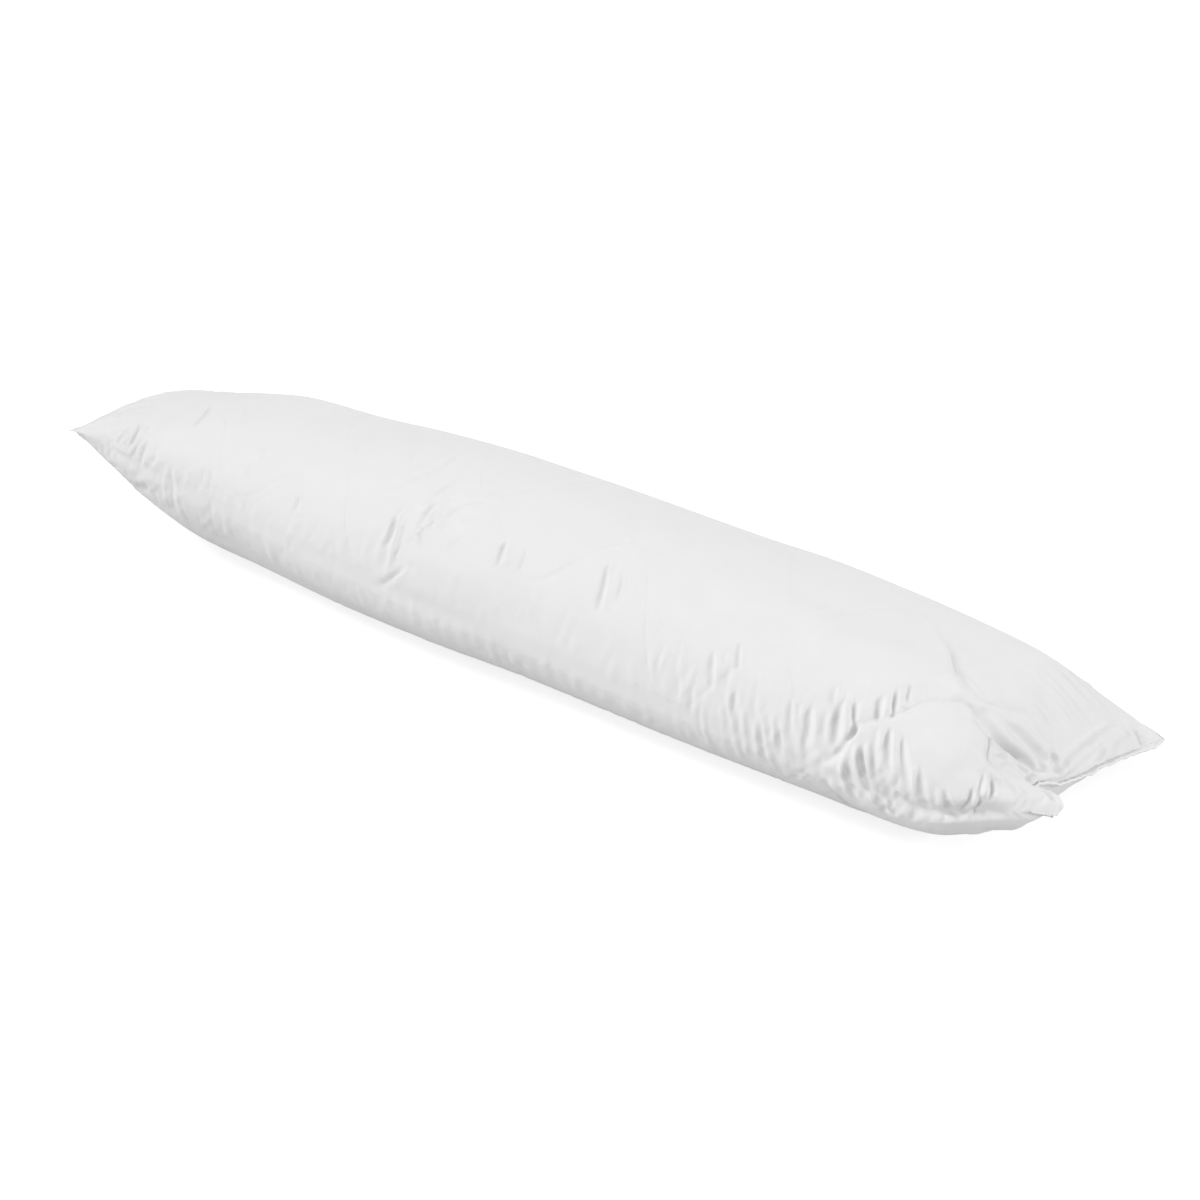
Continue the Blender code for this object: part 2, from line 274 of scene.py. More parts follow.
FOLDS = (
    #    x_a  y_a    x_b  y_b  width  height bow
    # The turn between the crown and the near side.
    Fold(700, 575,   832, 628, 22.0,  2.9, -0.03),
    Fold(800, 618,   930, 668, 20.0,  3.9, -0.03),
    # Left end.
    Fold(130, 428,   121, 445,  2.9,  2.4,  0.10),
    Fold(139, 424,   131, 445,  3.2, -2.7,  0.10),
    Fold(147, 426,   129, 455,  3.2,  2.7,  0.10),
    Fold(147, 441,   140, 470,  3.2, -2.7,  0.05),
    Fold(153, 440,   150, 462,  3.2,  1.8,  0.05),
    Fold(139, 456,   143, 476,  2.9,  1.8),
    Fold(167, 468,   168, 506,  3.2,  1.8),
    Fold(172, 466,   176, 512,  2.9, -2.2,  0.05),
    Fold(176, 480,   189, 527,  2.9,  1.5,  0.05),
    Fold(210, 405,   190, 430,  4.0, -2.0,  0.05),
    Fold(247, 416,   239, 426,  2.9, -1.4),
    Fold(210, 468,   207, 492,  2.9, -1.4,  0.10),
    Fold(204, 466,   201, 478,  2.9, -0.9,  0.10),
    Fold(211, 498,   213, 523,  3.2, -1.1),
    Fold(248, 462,   245, 482,  2.9, -1.5,  0.05),
    Fold(266, 446,   259, 460,  2.9, -1.4),
    Fold(299, 494,   294, 512,  2.9, -1.6,  0.10),
    Fold(246, 500,   244, 512,  2.9, -1.4),
    Fold(289, 536,   289, 550,  2.9, -1.5,  0.10),
    # Middle.
    Fold(410, 424,   411, 474,  2.9, -1.2,  0.02),
    Fold(396, 518,   384, 548,  3.3, -3.7,  0.10),
    Fold(402, 516,   388, 566,  3.0,  3.7,  0.05),
    Fold(412, 500,   400, 520,  3.3,  2.1,  0.05),
    Fold(440, 496,   423, 515,  3.0, -3.0,  0.03),
    Fold(448, 499,   420, 530,  2.9,  3.0,  0.03),
    Fold(458, 481,   426, 508,  3.0,  2.3,  0.03),
    Fold(420, 530,   421, 544,  2.5, -2.1),
    Fold(462, 500,   436, 532,  3.0, -1.7,  0.03),
    Fold(429, 470,   378, 490,  6.5, -1.5,  0.03),
    Fold(462, 449,   429, 475,  4.5, -1.7,  0.03),
    Fold(460, 538,   449, 550,  2.8, -1.7),
    Fold(478, 512,   464, 524,  2.8, -1.6),
    Fold(404, 567,   373, 587,  2.5, -3.0,  0.08),
    Fold(505, 540,   496, 566,  2.9, -2.4,  0.05),
    Fold(512, 540,   504, 568,  2.9,  2.4,  0.05),
    Fold(526, 545,   518, 572,  2.9, -1.9,  0.05),
    Fold(575, 561,   541, 581,  3.1, -1.2,  0.05),
    Fold(607, 560,   597, 610,  3.3, -2.0,  0.05),
    Fold(614, 562,   604, 612,  3.3,  2.0,  0.05),
    Fold(622, 570,   616, 602,  3.0, -2.0,  0.05),
    # The row above the near seam, right of the middle.
    Fold(668, 642,   660, 671,  3.1,  0.9,  0.05),
    Fold(687, 635,   679, 679,  3.1,  0.8,  0.03),
    Fold(679, 675,   678, 701,  3.1, -0.9),
    Fold(692, 687,   691, 713,  3.1, -1.2),
    Fold(712, 651,   710, 688,  3.5, -1.5,  0.05),
    Fold(718, 651,   716, 686,  3.1,  1.1,  0.05),
    Fold(728, 666,   726, 686,  3.5, -1.2,  0.05),
    Fold(740, 642,   738, 671,  3.5, -1.4),
    Fold(745, 642,   743, 667,  3.1,  0.9),
    Fold(704, 706,   720, 754,  3.1,  1.2, -0.05),
    Fold(698, 712,   708, 744,  3.1, -1.2),
    Fold(722, 703,   724, 733,  3.1,  1.0),
    Fold(729, 691,   731, 717,  3.1,  1.4),
    Fold(735, 692,   734, 712,  3.1, -1.6),
    Fold(731, 713,   743, 759,  3.1,  1.3,  0.03),
    Fold(743, 705,   749, 753,  3.1,  1.4),
    Fold(738, 716,   745, 752,  3.1, -1.0),
    Fold(756, 722,   759, 756,  3.1,  1.4),
    Fold(760, 722,   766, 758,  3.4, -1.7),
    Fold(757, 696,   782, 777,  3.4,  1.4,  0.05),
    Fold(772, 713,   775, 741,  3.1,  1.2),
    Fold(781, 720,   788, 760,  3.1,  1.4),
    Fold(779, 729,   782, 755,  3.1, -1.6),
    Fold(788, 739,   794, 765,  3.1,  1.2),
    Fold(791, 698,   792, 737,  3.4, -1.4),
    Fold(797, 696,   794, 734,  3.4,  1.2),
    Fold(803, 700,   802, 758,  3.8,  1.0),
    Fold(818, 708,   816, 748,  4.2,  1.2),
    Fold(810, 701,   809, 749,  3.8, -1.0),
    # The strong folds each side of the near quilting line.
    Fold(842, 682,   831, 722,  3.8,  2.8,  0.06),
    Fold(837, 700,   835, 748,  4.8, -4.4,  0.05),
    Fold(848, 694,   846, 738,  3.8,  2.8,  0.05),
    Fold(854, 700,   853, 738,  4.4, -3.2,  0.03),
    Fold(872, 675,   864, 710,  4.2,  1.3,  0.05),
    Fold(879, 698,   877, 722,  4.2, -2.6,  0.05),
    Fold(890, 690,   883, 720,  3.9,  2.6,  0.05),
    Fold(896, 692,   892, 716,  3.8, -2.3,  0.05),
    Fold(904, 682,   898, 712,  3.8,  2.1,  0.05),
    Fold(909, 682,   904, 706,  3.8, -1.7,  0.05),
    Fold(915, 684,   911, 702,  3.8,  1.3,  0.05),
    Fold(841, 764,   851, 795,  3.8,  3.1, -0.05),
    Fold(847, 760,   857, 796,  3.9, -4.2, -0.05),
    Fold(856, 746,   866, 788,  3.8,  4.2, -0.05),
    Fold(863, 780,   886, 814,  4.2,  3.3),
    Fold(862, 748,   872, 796,  3.8, -4.7, -0.05),
    Fold(868, 744,   876, 788,  3.5,  4.4, -0.05),
    Fold(875, 784,   893, 812,  3.8,  3.6),
    Fold(881, 762,   893, 802,  3.8, -2.0, -0.03),
    Fold(877, 752,   917, 809,  3.1,  2.0, -0.03),
    Fold(882, 766,   905, 806,  4.2, -2.2, -0.03),
    Fold(883, 726,   881, 750,  3.4,  2.0),
    Fold(889, 728,   890, 762,  3.8, -2.7),
    Fold(896, 732,   895, 772,  3.8,  2.3),
    Fold(903, 736,   906, 778,  4.4, -2.5),
    Fold(915, 766,   913, 788,  3.8,  2.4),
    Fold(921, 774,   928, 811,  4.2, -3.2, -0.03),
    Fold(944, 790,   954, 816,  3.8, -2.7),
    Fold(936, 788,   942, 808,  3.5,  1.6),
    Fold(972, 788,   963, 812,  3.9, -3.4,  0.03),
    Fold(987, 774,   968, 817,  3.9,  4.1,  0.04),
    Fold(983, 792,   975, 814,  3.8, -4.1),
    Fold(990, 780,   989, 800,  3.8, -2.4),
    # The puffed cell, the hollow beside it and the rolls that run into the closing seam.
    Fold(925, 735,   965, 760, 26.0,  4.0),
    Fold(948, 674,   984, 712, 11.0,  6.0,  0.05),
    Fold(986, 716,  1038, 768,  6.2,  7.5, -0.03),
    Fold(992, 737,  1033, 771,  4.2, -6.5, -0.03),
    Fold(996, 752,  1032, 774,  4.5,  6.0, -0.03),
    Fold(1006, 722, 1046, 764,  5.0, -5.0, -0.03),
    Fold(1016, 718, 1050, 758,  5.5,  3.5, -0.03),
    # The small pocket at the closing seam and the far ear.
    Fold(1052, 752, 1055, 776,  4.5, -5.5),
    Fold(1047, 744, 1044, 772,  4.0,  3.0),
    Fold(1061, 752, 1070, 779,  4.2,  4.5),
    Fold(1035, 690, 1063, 730, 14.0, -4.0),
    Fold(1109, 734, 1102, 764,  4.0,  5.2,  0.10),
    Fold(1116, 738, 1110, 762,  4.0, -4.4,  0.10),
    Fold(1127, 726, 1136, 752,  4.0,  5.2),
    Fold(1134, 727, 1142, 749,  4.0, -4.4),
)


def smooth_table(rows: Sequence[tuple], column: int, at: np.ndarray) -> np.ndarray:
    """Read one column of a table at many positions, with a smooth curve through its rows.

    Args:
        rows: The table, sorted by its first column.
        column: Which column to read.
        at: Positions along the first column.

    Returns:
        The column's value at each position.
    """
    keys = np.array([row[0] for row in rows])
    values = np.array([row[column] for row in rows])
    spans = np.diff(keys)
    slopes = np.diff(values) / spans
    tangents = np.empty_like(values)
    tangents[0], tangents[-1] = slopes[0], slopes[-1]
    before, after = slopes[:-1], slopes[1:]
    same_way = before * after > 0
    total = np.where(same_way, before + after, 1.0)
    tangents[1:-1] = np.where(same_way, 2 * before * after / total, 0.0)
    where = np.clip(at, keys[0], keys[-1])
    k = np.clip(np.searchsorted(keys, where, side="right") - 1, 0, len(spans) - 1)
    span = spans[k]
    u = (where - keys[k]) / span
    start = (1 + 2 * u) * (1 - u) ** 2 * values[k] + u * (1 - u) ** 2 * span * tangents[k]
    end = u * u * (3 - 2 * u) * values[k + 1] + u * u * (u - 1) * span * tangents[k + 1]
    return start + end


def smooth_points(rows: Sequence[tuple], first: int, at: np.ndarray) -> np.ndarray:
    """Read three columns of a table, from column `first` on, as points at many positions."""
    return np.stack([smooth_table(rows, first + k, at) for k in range(3)], axis=1)


def points_at(where: np.ndarray, keys: np.ndarray, points: np.ndarray) -> np.ndarray:
    """Points at positions along a line of points, straight between the given ones."""
    return np.stack([np.interp(where, keys, points[:, k]) for k in range(3)], axis=-1)


def repeat_ends(rows: np.ndarray, times: int) -> np.ndarray:
    """Rows with the first and the last one repeated at the ends."""
    return np.concatenate([np.repeat(rows[:1], times, 0), rows, np.repeat(rows[-1:], times, 0)])


def unit(vectors: np.ndarray) -> np.ndarray:
    """Scale vectors in the last axis to a length of one."""
    return vectors / np.maximum(np.linalg.norm(vectors, axis=-1, keepdims=True), TINY)


def fade(distance: np.ndarray, reach: float) -> np.ndarray:
    """A smooth step from 0 at no distance to 1 at `reach` and beyond."""
    t = np.clip(distance / reach, 0.0, 1.0)
    return t * t * (3 - 2 * t)


@dataclass(frozen=True)
class RingGrid:
    """Rings of points over both panels, evenly spaced in the flat cut or crowded where folds are fine."""
    cells_along: int
    cells_across: int
    crowded: bool = False
    samples_per_cell: int = 8

    @property
    def ring(self) -> int:
        """Points in one ring."""
        return 2 * self.cells_across

    def spread(self, cells: int, half: float, spacings: Sequence[Spacing]) -> np.ndarray:
        """Places from one edge of the cut to the other, evenly spaced or crowded as a table says.

        Args:
            cells: How many cells lie between them.
            half: How far each edge is from the middle.
            spacings: How closely the places lie where they are crowded.

        Returns:
            The places.
        """
        if not self.crowded:
            return np.linspace(-half, half, cells + 1)
        fine = np.linspace(-half, half, self.samples_per_cell * cells + 1)
        count = np.cumsum(1 / np.interp(fine, *zip(*spacings)))
        share = (count - count[0]) / (count[-1] - count[0])
        return np.interp(np.linspace(0, 1, cells + 1), share, fine)

    def along(self) -> np.ndarray:
        """Where each ring lies along the cut, as a column."""
        return self.spread(self.cells_along, HALF_LENGTH, ALONG_SPACINGS)[:, None]

    def across(self) -> np.ndarray:
        """Where each place in a ring lies across the cut, as a row."""
        steps = np.minimum(np.arange(self.ring), self.ring - np.arange(self.ring))
        return self.spread(self.cells_across, HALF_WIDTH, ACROSS_SPACINGS)[steps][None, :]

    def side(self) -> np.ndarray:
        """+1 on the top panel and -1 on the bottom one, as a row; the far seam counts as top."""
        return np.where(np.arange(self.ring) <= self.cells_across, 1.0, -1.0)[None, :]

    def index(self) -> tuple[np.ndarray, np.ndarray]:
        """Number the points once each, with the two panels joined at the end seams.

        Returns:
            The vertex number of each ring place, and for each vertex its place in the flattened rings.
        """
        numbers = np.arange((self.cells_along + 1) * self.ring).reshape(-1, self.ring)
        place = np.arange(self.ring)
        folded = np.minimum(place, (self.ring - place) % self.ring)
        for end in (0, -1):
            numbers[end] = numbers[end][folded]
        used, index = np.unique(numbers, return_inverse=True)
        return index.reshape(numbers.shape), used

    def faces(self, index: np.ndarray) -> np.ndarray:
        """Four vertex numbers for each face, counted so that the faces point out."""
        turned = np.roll(index, -1, axis=1)
        return np.stack([c.ravel() for c in (index[:-1], index[1:], turned[1:], turned[:-1])], axis=1)

    def row(self, along: np.ndarray) -> np.ndarray:
        """Which ring lies at a place along the cut, in parts of a ring."""
        return np.interp(along, self.along()[:, 0], np.arange(self.cells_along + 1))

    def place(self, across: np.ndarray, bottom: bool | np.ndarray) -> np.ndarray:
        """Which place of a ring lies at a place across the cut, in parts of a place.

        Args:
            across: Places across the cut.
            bottom: Whether they are on the bottom panel.

        Returns:
            The places in the ring.
        """
        steps = np.arange(self.cells_across + 1)
        on_top = np.interp(across, self.across()[0, :self.cells_across + 1], steps)
        return np.where(bottom, self.ring - on_top, on_top)


def refine(rings: np.ndarray) -> np.ndarray:
    """Put a new point halfway between each two, on a smooth curve through their neighbours.

    Args:
        rings: Points as (ring, place in the ring, xyz).

    Returns:
        The rings of the grid with twice the cells each way.
    """
    outer = np.roll(rings, 1, axis=1) + np.roll(rings, -2, axis=1)
    halfway = (9 * (rings + np.roll(rings, -1, axis=1)) - outer) / 16
    round_the_ring = np.stack([rings, halfway], axis=2).reshape(len(rings), -1, 3)
    padded = np.concatenate([
        2 * round_the_ring[:1] - round_the_ring[1:2],
        round_the_ring,
        2 * round_the_ring[-1:] - round_the_ring[-2:-1],
    ])
    between = (9 * (padded[1:-2] + padded[2:-1]) - padded[:-3] - padded[3:]) / 16
    finer = np.empty((2 * len(rings) - 1,) + round_the_ring.shape[1:])
    finer[0::2] = round_the_ring
    finer[1::2] = between
    return finer


def pick_rings(rings: np.ndarray, rows: np.ndarray) -> np.ndarray:
    """Read rings between the given ones, on a smooth curve through them.

    Args:
        rings: Points as (ring, place in the ring, xyz).
        rows: Which rings to read, in parts of a ring.

    Returns:
        A ring for each row.
    """
    low = np.minimum(rows.astype(int), len(rings) - 2)
    t = (rows - low)[:, None, None]
    before, start, end, after = (rings[np.clip(low + k, 0, len(rings) - 1)] for k in (-1, 0, 1, 2))
    leaving, arriving = (end - before) / 2, (after - start) / 2
    here = (1 + 2 * t) * (1 - t) ** 2 * start + t * (1 - t) ** 2 * leaving
    return here + t * t * (3 - 2 * t) * end + t * t * (t - 1) * arriving


def bell(cell: float, reach: float) -> np.ndarray:
    """Weights of a bell curve.

    Args:
        cell: Distance between the places that it weights.
        reach: How far the curve reaches; it is cut off at three times that.

    Returns:
        The weights, which add up to one.
    """
    half = max(1, int(3 * reach / cell))
    weights = np.exp(-0.5 * (np.arange(-half, half + 1) * cell / reach) ** 2)
    return weights / weights.sum()


def blur(rings: np.ndarray, cell_along: float, cell_round: float, reach: float) -> np.ndarray:
    """Smooth a field over the rings with a bell curve, going round each ring and along the pillow.

    Args:
        rings: The field as (ring, place in the ring, xyz).
        cell_along: Distance between rings.
        cell_round: Distance between places in a ring.
        reach: How far the smoothing reaches.

    Returns:
        The smoothed field.
    """
    result = np.zeros_like(rings)
    weights = bell(cell_round, reach)
    for shift, weight in enumerate(weights, start=-(len(weights) // 2)):
        result += weight * np.roll(rings, shift, axis=1)
    weights = bell(cell_along, reach)
    padded = repeat_ends(result, len(weights) // 2)
    smoothed = np.zeros_like(rings)
    for shift, weight in enumerate(weights):
        smoothed += weight * padded[shift:shift + len(rings)]
    return smoothed


def ring_normals(rings: np.ndarray) -> np.ndarray:
    """Outward directions at each ring place, taken from its neighbours.

    Args:
        rings: Points as (ring, place in the ring, xyz).

    Returns:
        The directions, each of length one.
    """
    lengthwise = np.gradient(rings, axis=0)
    roundwise = np.roll(rings, -1, axis=1) - np.roll(rings, 1, axis=1)
    normals = unit(np.cross(lengthwise, roundwise))
    normals[0], normals[-1] = normals[1], normals[-2]
    return normals


@dataclass
class FilledForm:
    """The filled pillow's broad form, lofted between its two long seams."""
    arch_power: float = 0.80
    rounded_share: float = 0.70
    seam_spread: float = 0.100
    press_depth: float = 0.010
    seam_hold: float = 0.020

    def seam_sheet(self, along: np.ndarray, across: np.ndarray) -> tuple[np.ndarray, np.ndarray]:
        """Points midway between the panels.

        Args:
            along: Column of positions along the cut.
            across: Row of positions across the cut.

        Returns:
            The points, and the way that the top panel faces at each ring.
        """
        near, far = (smooth_points(SECTIONS, first, along[:, 0]) for first in (1, 4))
        share = (across + HALF_WIDTH) / CUT_WIDTH
        rounded = (1 - np.cos(math.pi * share)) / 2
        rounded = self.rounded_share * rounded + (1 - self.rounded_share) * share
        spread = np.exp(-((HALF_LENGTH - np.abs(along)) / self.seam_spread) ** 2)
        blend = (spread * share + (1 - spread) * rounded)[..., None]
        points = near[:, None] * (1 - blend) + far[:, None] * blend
        left, right = (smooth_points(table, 1, across[0]) for table in (LEFT_SEAM, RIGHT_SEAM))
        offsets = np.where((along > 0)[..., None], right[None], left[None])
        facing = np.zeros_like(near)
        facing[:, 1] = near[:, 2] - far[:, 2]
        facing[:, 2] = far[:, 1] - near[:, 1]
        return points + offsets * spread[..., None], unit(facing)

    def rings(self, grid: RingGrid) -> np.ndarray:
        """Both panels as rings, pressed flat where the pillow rests.

        Args:
            grid: How many rings and places.

        Returns:
            Points as (ring, place in the ring, xyz).
        """
        along, across, side = grid.along(), grid.across(), grid.side()
        points, facing = self.seam_sheet(along, across)
        share = (across + HALF_WIDTH) / CUT_WIDTH
        arch = np.maximum(np.sin(math.pi * share), 0.0) ** self.arch_power
        crown, belly = (smooth_table(SECTIONS, column, along[:, 0])[:, None] for column in (7, 8))
        stand = np.where(side > 0, crown, -belly) * arch
        rings = points + facing[:, None] * stand[..., None]
        inside = fade(HALF_WIDTH - np.abs(across), self.seam_hold)
        inside = inside * fade(HALF_LENGTH - np.abs(along), self.seam_hold)
        for bulge in BULGES:
            off_along = (along - bulge.along) / bulge.reach
            off_across = (across - bulge.across) / bulge.round
            near_it = np.exp(-off_along ** 2 - off_across ** 2) * inside
            amount = np.where(side == bulge.panel.value, near_it, 0.0)
            rings += amount[..., None] * (bulge.shift_x, bulge.shift_y, bulge.shift_z)
        rings[..., 2] = self.press_flat(rings[..., 2])
        return rings

    def press_flat(self, height: np.ndarray) -> np.ndarray:
        """Flatten what hangs at or below the resting plane, with a smooth turn at its edge.

        Args:
            height: Heights over the plane.

        Returns:
            The heights once pressed.
        """
        turn = (height + self.press_depth) ** 2 / (4 * self.press_depth)
        pressed = np.where(height < self.press_depth, turn, height)
        return np.where(height <= -self.press_depth, 0.0, pressed)


@dataclass(frozen=True)
class Quilting:
    """Wavy sewn lines, each the mirror image of the next, the same on both panels."""
    wave_length: float = 0.210
    half_height: float = 0.055
    crest_at: float = 0.545
    means: tuple = (-0.119, 0.010, 0.139)
    points: tuple = (NEAR_LINE, MIDDLE_LINE, FAR_LINE)
    gathers: tuple = (0.030, 0.0, 0.0)
    tight_from: float = 0.40

    def line(self, number: int, along: np.ndarray) -> np.ndarray:
        """Where a line lies across the panel.

        Args:
            number: Which line, counted from the near seam.
            along: Positions along the cut.

        Returns:
            Its place across the cut at each position.
        """
        mirror = -1.0 if number % 2 else 1.0
        wave = np.cos(2 * math.pi * (along - self.crest_at) / self.wave_length)
        stray = smooth_table(self.points[number], 1, along)
        return self.means[number] + mirror * self.half_height * wave + stray

    def depth(self, number: int, along: np.ndarray) -> np.ndarray:
        """How deep a line's channel is, at positions along it."""
        return smooth_table(self.points[number], 2, along)


@dataclass
class FillingSimulation:
    """Cloth simulation of the cover, cut flat and blown up by its filling while it lies on the floor."""
    quilting: Quilting = Quilting()
    frames: int = 40
    quality: int = 5
    pressure: float = 60.0
    areal_mass: float = 640.0
    stretch: float = 25.0
    squeeze: float = 25.0
    shear: float = 5.0
    bend: float = 0.05
    air_damping: float = 2.0
    ease_along: float = 1.06
    ease_across: float = 0.98
    near_gather: float = 0.070
    far_gather: float = 0.050
    end_gather: float = 0.200
    pinned_ear: float = 0.020
    end_tolerance: float = 0.0001
    panel_offset: float = 0.0005
    clearance: float = 0.004
    contact_gap: float = 0.003
    contact_quality: int = 2
    floor_half: float = 2.0
    floor_gap: float = 0.002
    floor_friction: float = 20.0
    unevenness: float = 0.0002
    seed: int = 7
    fill: tuple = ((-0.725, 0.90), (-0.300, 0.45), (0.100, 0.50), (0.725, 1.00))

    def run(self, grid: RingGrid, start: np.ndarray) -> np.ndarray:
        """Settle the cover from its broad form.

        Args:
            grid: The rings' grid.
            start: Their points before the simulation.

        Returns:
            The points after it.
        """
        index, used = grid.index()
        along, across, side = (
            np.broadcast_to(values, start.shape[:2]).ravel()[used]
            for values in (grid.along(), grid.across(), grid.side())
        )
        draw = np.random.default_rng(self.seed)
        raised = start + ring_normals(start) * draw.normal(0.0, self.unevenness, start.shape[:2] + (1,))
        raised = raised.reshape(-1, 3)[used]
        raised[:, 2] = np.maximum(raised[:, 2], 0.0) + self.clearance
        flat = np.stack([along, across, self.panel_offset * side], axis=1)
        eased = flat * (self.ease_along, self.ease_across, 1.0)
        cover = linked_mesh("cover_in_simulation", raised, grid.faces(index))
        cover.shape_key_add(name="filled")
        cut = cover.shape_key_add(name="cut")
        cut.data.foreach_set("co", eased.astype(np.float32).ravel())
        floor = self._floor()
        cloth = self._add_cloth(cover, cut, grid)
        self._add_pins(cover, cloth, flat)
        self._add_gathers(cover, cloth, flat, HALF_WIDTH / grid.cells_across)
        self._add_filling(cover, cloth, flat)
        for number in range(1, self.frames + 1):
            bpy.context.scene.frame_set(number)
        evaluated = cover.evaluated_get(bpy.context.evaluated_depsgraph_get())
        settled = np.empty(len(used) * 3, np.float32)
        evaluated.to_mesh().vertices.foreach_get("co", settled)
        evaluated.to_mesh_clear()
        bpy.context.scene.frame_set(1)
        for helper in (cover, floor):
            bpy.data.objects.remove(helper, do_unlink=True)
        settled = settled.reshape(-1, 3).astype(float)
        settled[:, 2] -= self.clearance
        return settled[index]

    def _floor(self) -> bpy.types.Object:
        """Make the plane that the cover lies on while it settles.

        Returns:
            The plane.
        """
        floor = linked_mesh("floor_in_simulation", square(self.floor_half), [(0, 1, 2, 3)])
        floor.modifiers.new("contact", "COLLISION")
        floor.collision.cloth_friction = self.floor_friction
        floor.collision.thickness_outer = self.floor_gap
        return floor

    def _add_cloth(
        self, cover: bpy.types.Object, cut: bpy.types.ShapeKey, grid: RingGrid
    ) -> bpy.types.ClothSettings:
        """Make the cover a cloth under the pressure of its filling.

        Args:
            cover: The cover.
            cut: Its flat shape.
            grid: The rings' grid.

        Returns:
            The cloth's settings.
        """
        modifier = cover.modifiers.new("cloth", "CLOTH")
        cloth = modifier.settings
        cloth.quality = self.quality
        cloth.mass = self.areal_mass * CUT_LENGTH * CUT_WIDTH / (grid.cells_along * grid.cells_across)
        cloth.tension_stiffness = self.stretch
        cloth.compression_stiffness = self.squeeze
        cloth.shear_stiffness = self.shear
        cloth.bending_stiffness = self.bend
        cloth.air_damping = self.air_damping
        cloth.rest_shape_key = cut
        cloth.use_pressure = True
        cloth.uniform_pressure_force = self.pressure
        modifier.collision_settings.use_collision = True
        modifier.collision_settings.distance_min = self.contact_gap
        modifier.collision_settings.collision_quality = self.contact_quality
        modifier.point_cache.frame_start = 1
        modifier.point_cache.frame_end = self.frames
        return cloth

    def _at_end(self, flat: np.ndarray) -> np.ndarray:
        """Which points of the flat cut lie on an end seam."""
        return np.abs(flat[:, 0]) > HALF_LENGTH - self.end_tolerance

    def _add_pins(
        self, cover: bpy.types.Object, cloth: bpy.types.ClothSettings, flat: np.ndarray
    ) -> None:
        """Hold the ends and the ears where they are.

        Args:
            cover: The cover.
            cloth: Its cloth's settings.
            flat: Its points in the flat cut.
        """
        from_ear = np.hypot(HALF_LENGTH - np.abs(flat[:, 0]), HALF_WIDTH - np.abs(flat[:, 1]))
        pinned = self._at_end(flat) | (from_ear < self.pinned_ear)
        pins = cover.vertex_groups.new(name="pinned")
        pins.add(np.nonzero(pinned)[0].tolist(), 1.0, "REPLACE")
        cloth.vertex_group_mass = pins.name

    def _add_gathers(
        self, cover: bpy.types.Object, cloth: bpy.types.ClothSettings, flat: np.ndarray, half_cell: float
    ) -> None:
        """Shrink the cloth along the seams and the quilting lines, as the sewing does.

        Args:
            cover: The cover.
            cloth: Its cloth's settings.
            flat: Its points in the flat cut.
            half_cell: Half a cell across the cut.
        """
        rows = []
        for number, amount in enumerate(self.quilting.gathers):
            on_line = np.abs(flat[:, 1] - self.quilting.line(number, flat[:, 0])) <= half_cell
            rows.append((on_line & (flat[:, 0] > self.quilting.tight_from), amount))
        rows.append((flat[:, 1] < half_cell - HALF_WIDTH, self.near_gather))
        rows.append((flat[:, 1] > HALF_WIDTH - half_cell, self.far_gather))
        rows.append((self._at_end(flat), self.end_gather))
        gathers = cover.vertex_groups.new(name="gathered")
        for sewn, amount in rows:
            gathers.add(np.nonzero(sewn)[0].tolist(), amount / self.end_gather, "REPLACE")
        cloth.vertex_group_shrink = gathers.name
        cloth.shrink_min = 0.0
        cloth.shrink_max = self.end_gather

    def _add_filling(
        self, cover: bpy.types.Object, cloth: bpy.types.ClothSettings, flat: np.ndarray
    ) -> None:
        """Say how full each place is.

        Args:
            cover: The cover.
            cloth: Its cloth's settings.
            flat: Its points in the flat cut.
        """
        filling = cover.vertex_groups.new(name="filling")
        for number, amount in enumerate(np.interp(flat[:, 0], *zip(*self.fill))):
            filling.add([number], float(amount), "REPLACE")
        cloth.vertex_group_pressure = filling.name


@dataclass(frozen=True)
class Viewpoint:
    """Where the photograph was taken from, and how its frame lies."""
    azimuth: float = math.radians(33.0)
    elevation: float = math.radians(35.0)
    distance: float = 2.3
    aim_height: float = 0.1
    image_side: float = 1200.0
    pixels_per_metre: float = 826.0
    aim_pixel: tuple = (573.0, 560.5)

    def axes(self) -> np.ndarray:
        """The camera's own directions.

        Returns:
            Rows that point right, up and back towards the camera.
        """
        sin_a, cos_a = math.sin(self.azimuth), math.cos(self.azimuth)
        sin_e, cos_e = math.sin(self.elevation), math.cos(self.elevation)
        return np.array([
            (cos_a, sin_a, 0.0),
            (-sin_a * sin_e, cos_a * sin_e, cos_e),
            (sin_a * cos_e, -cos_a * cos_e, sin_e),
        ])

    def place(self) -> np.ndarray:
        """Where the camera stands."""
        return np.array((0.0, 0.0, self.aim_height)) + self.axes()[2] * self.distance

    def pixels(self, points: np.ndarray) -> tuple[np.ndarray, np.ndarray]:
        """Find where points fall in the photograph.

        Args:
            points: Points with xyz in the last axis.

        Returns:
            Their pixels across and down, and how far they are from the camera.
        """
        seen = (points - self.place()) @ self.axes().T
        away = -seen[..., 2]
        scale = self.pixels_per_metre * self.distance / away
        across = self.aim_pixel[0] + seen[..., 0] * scale
        down = self.aim_pixel[1] - seen[..., 1] * scale
        return np.stack([across, down], axis=-1), away


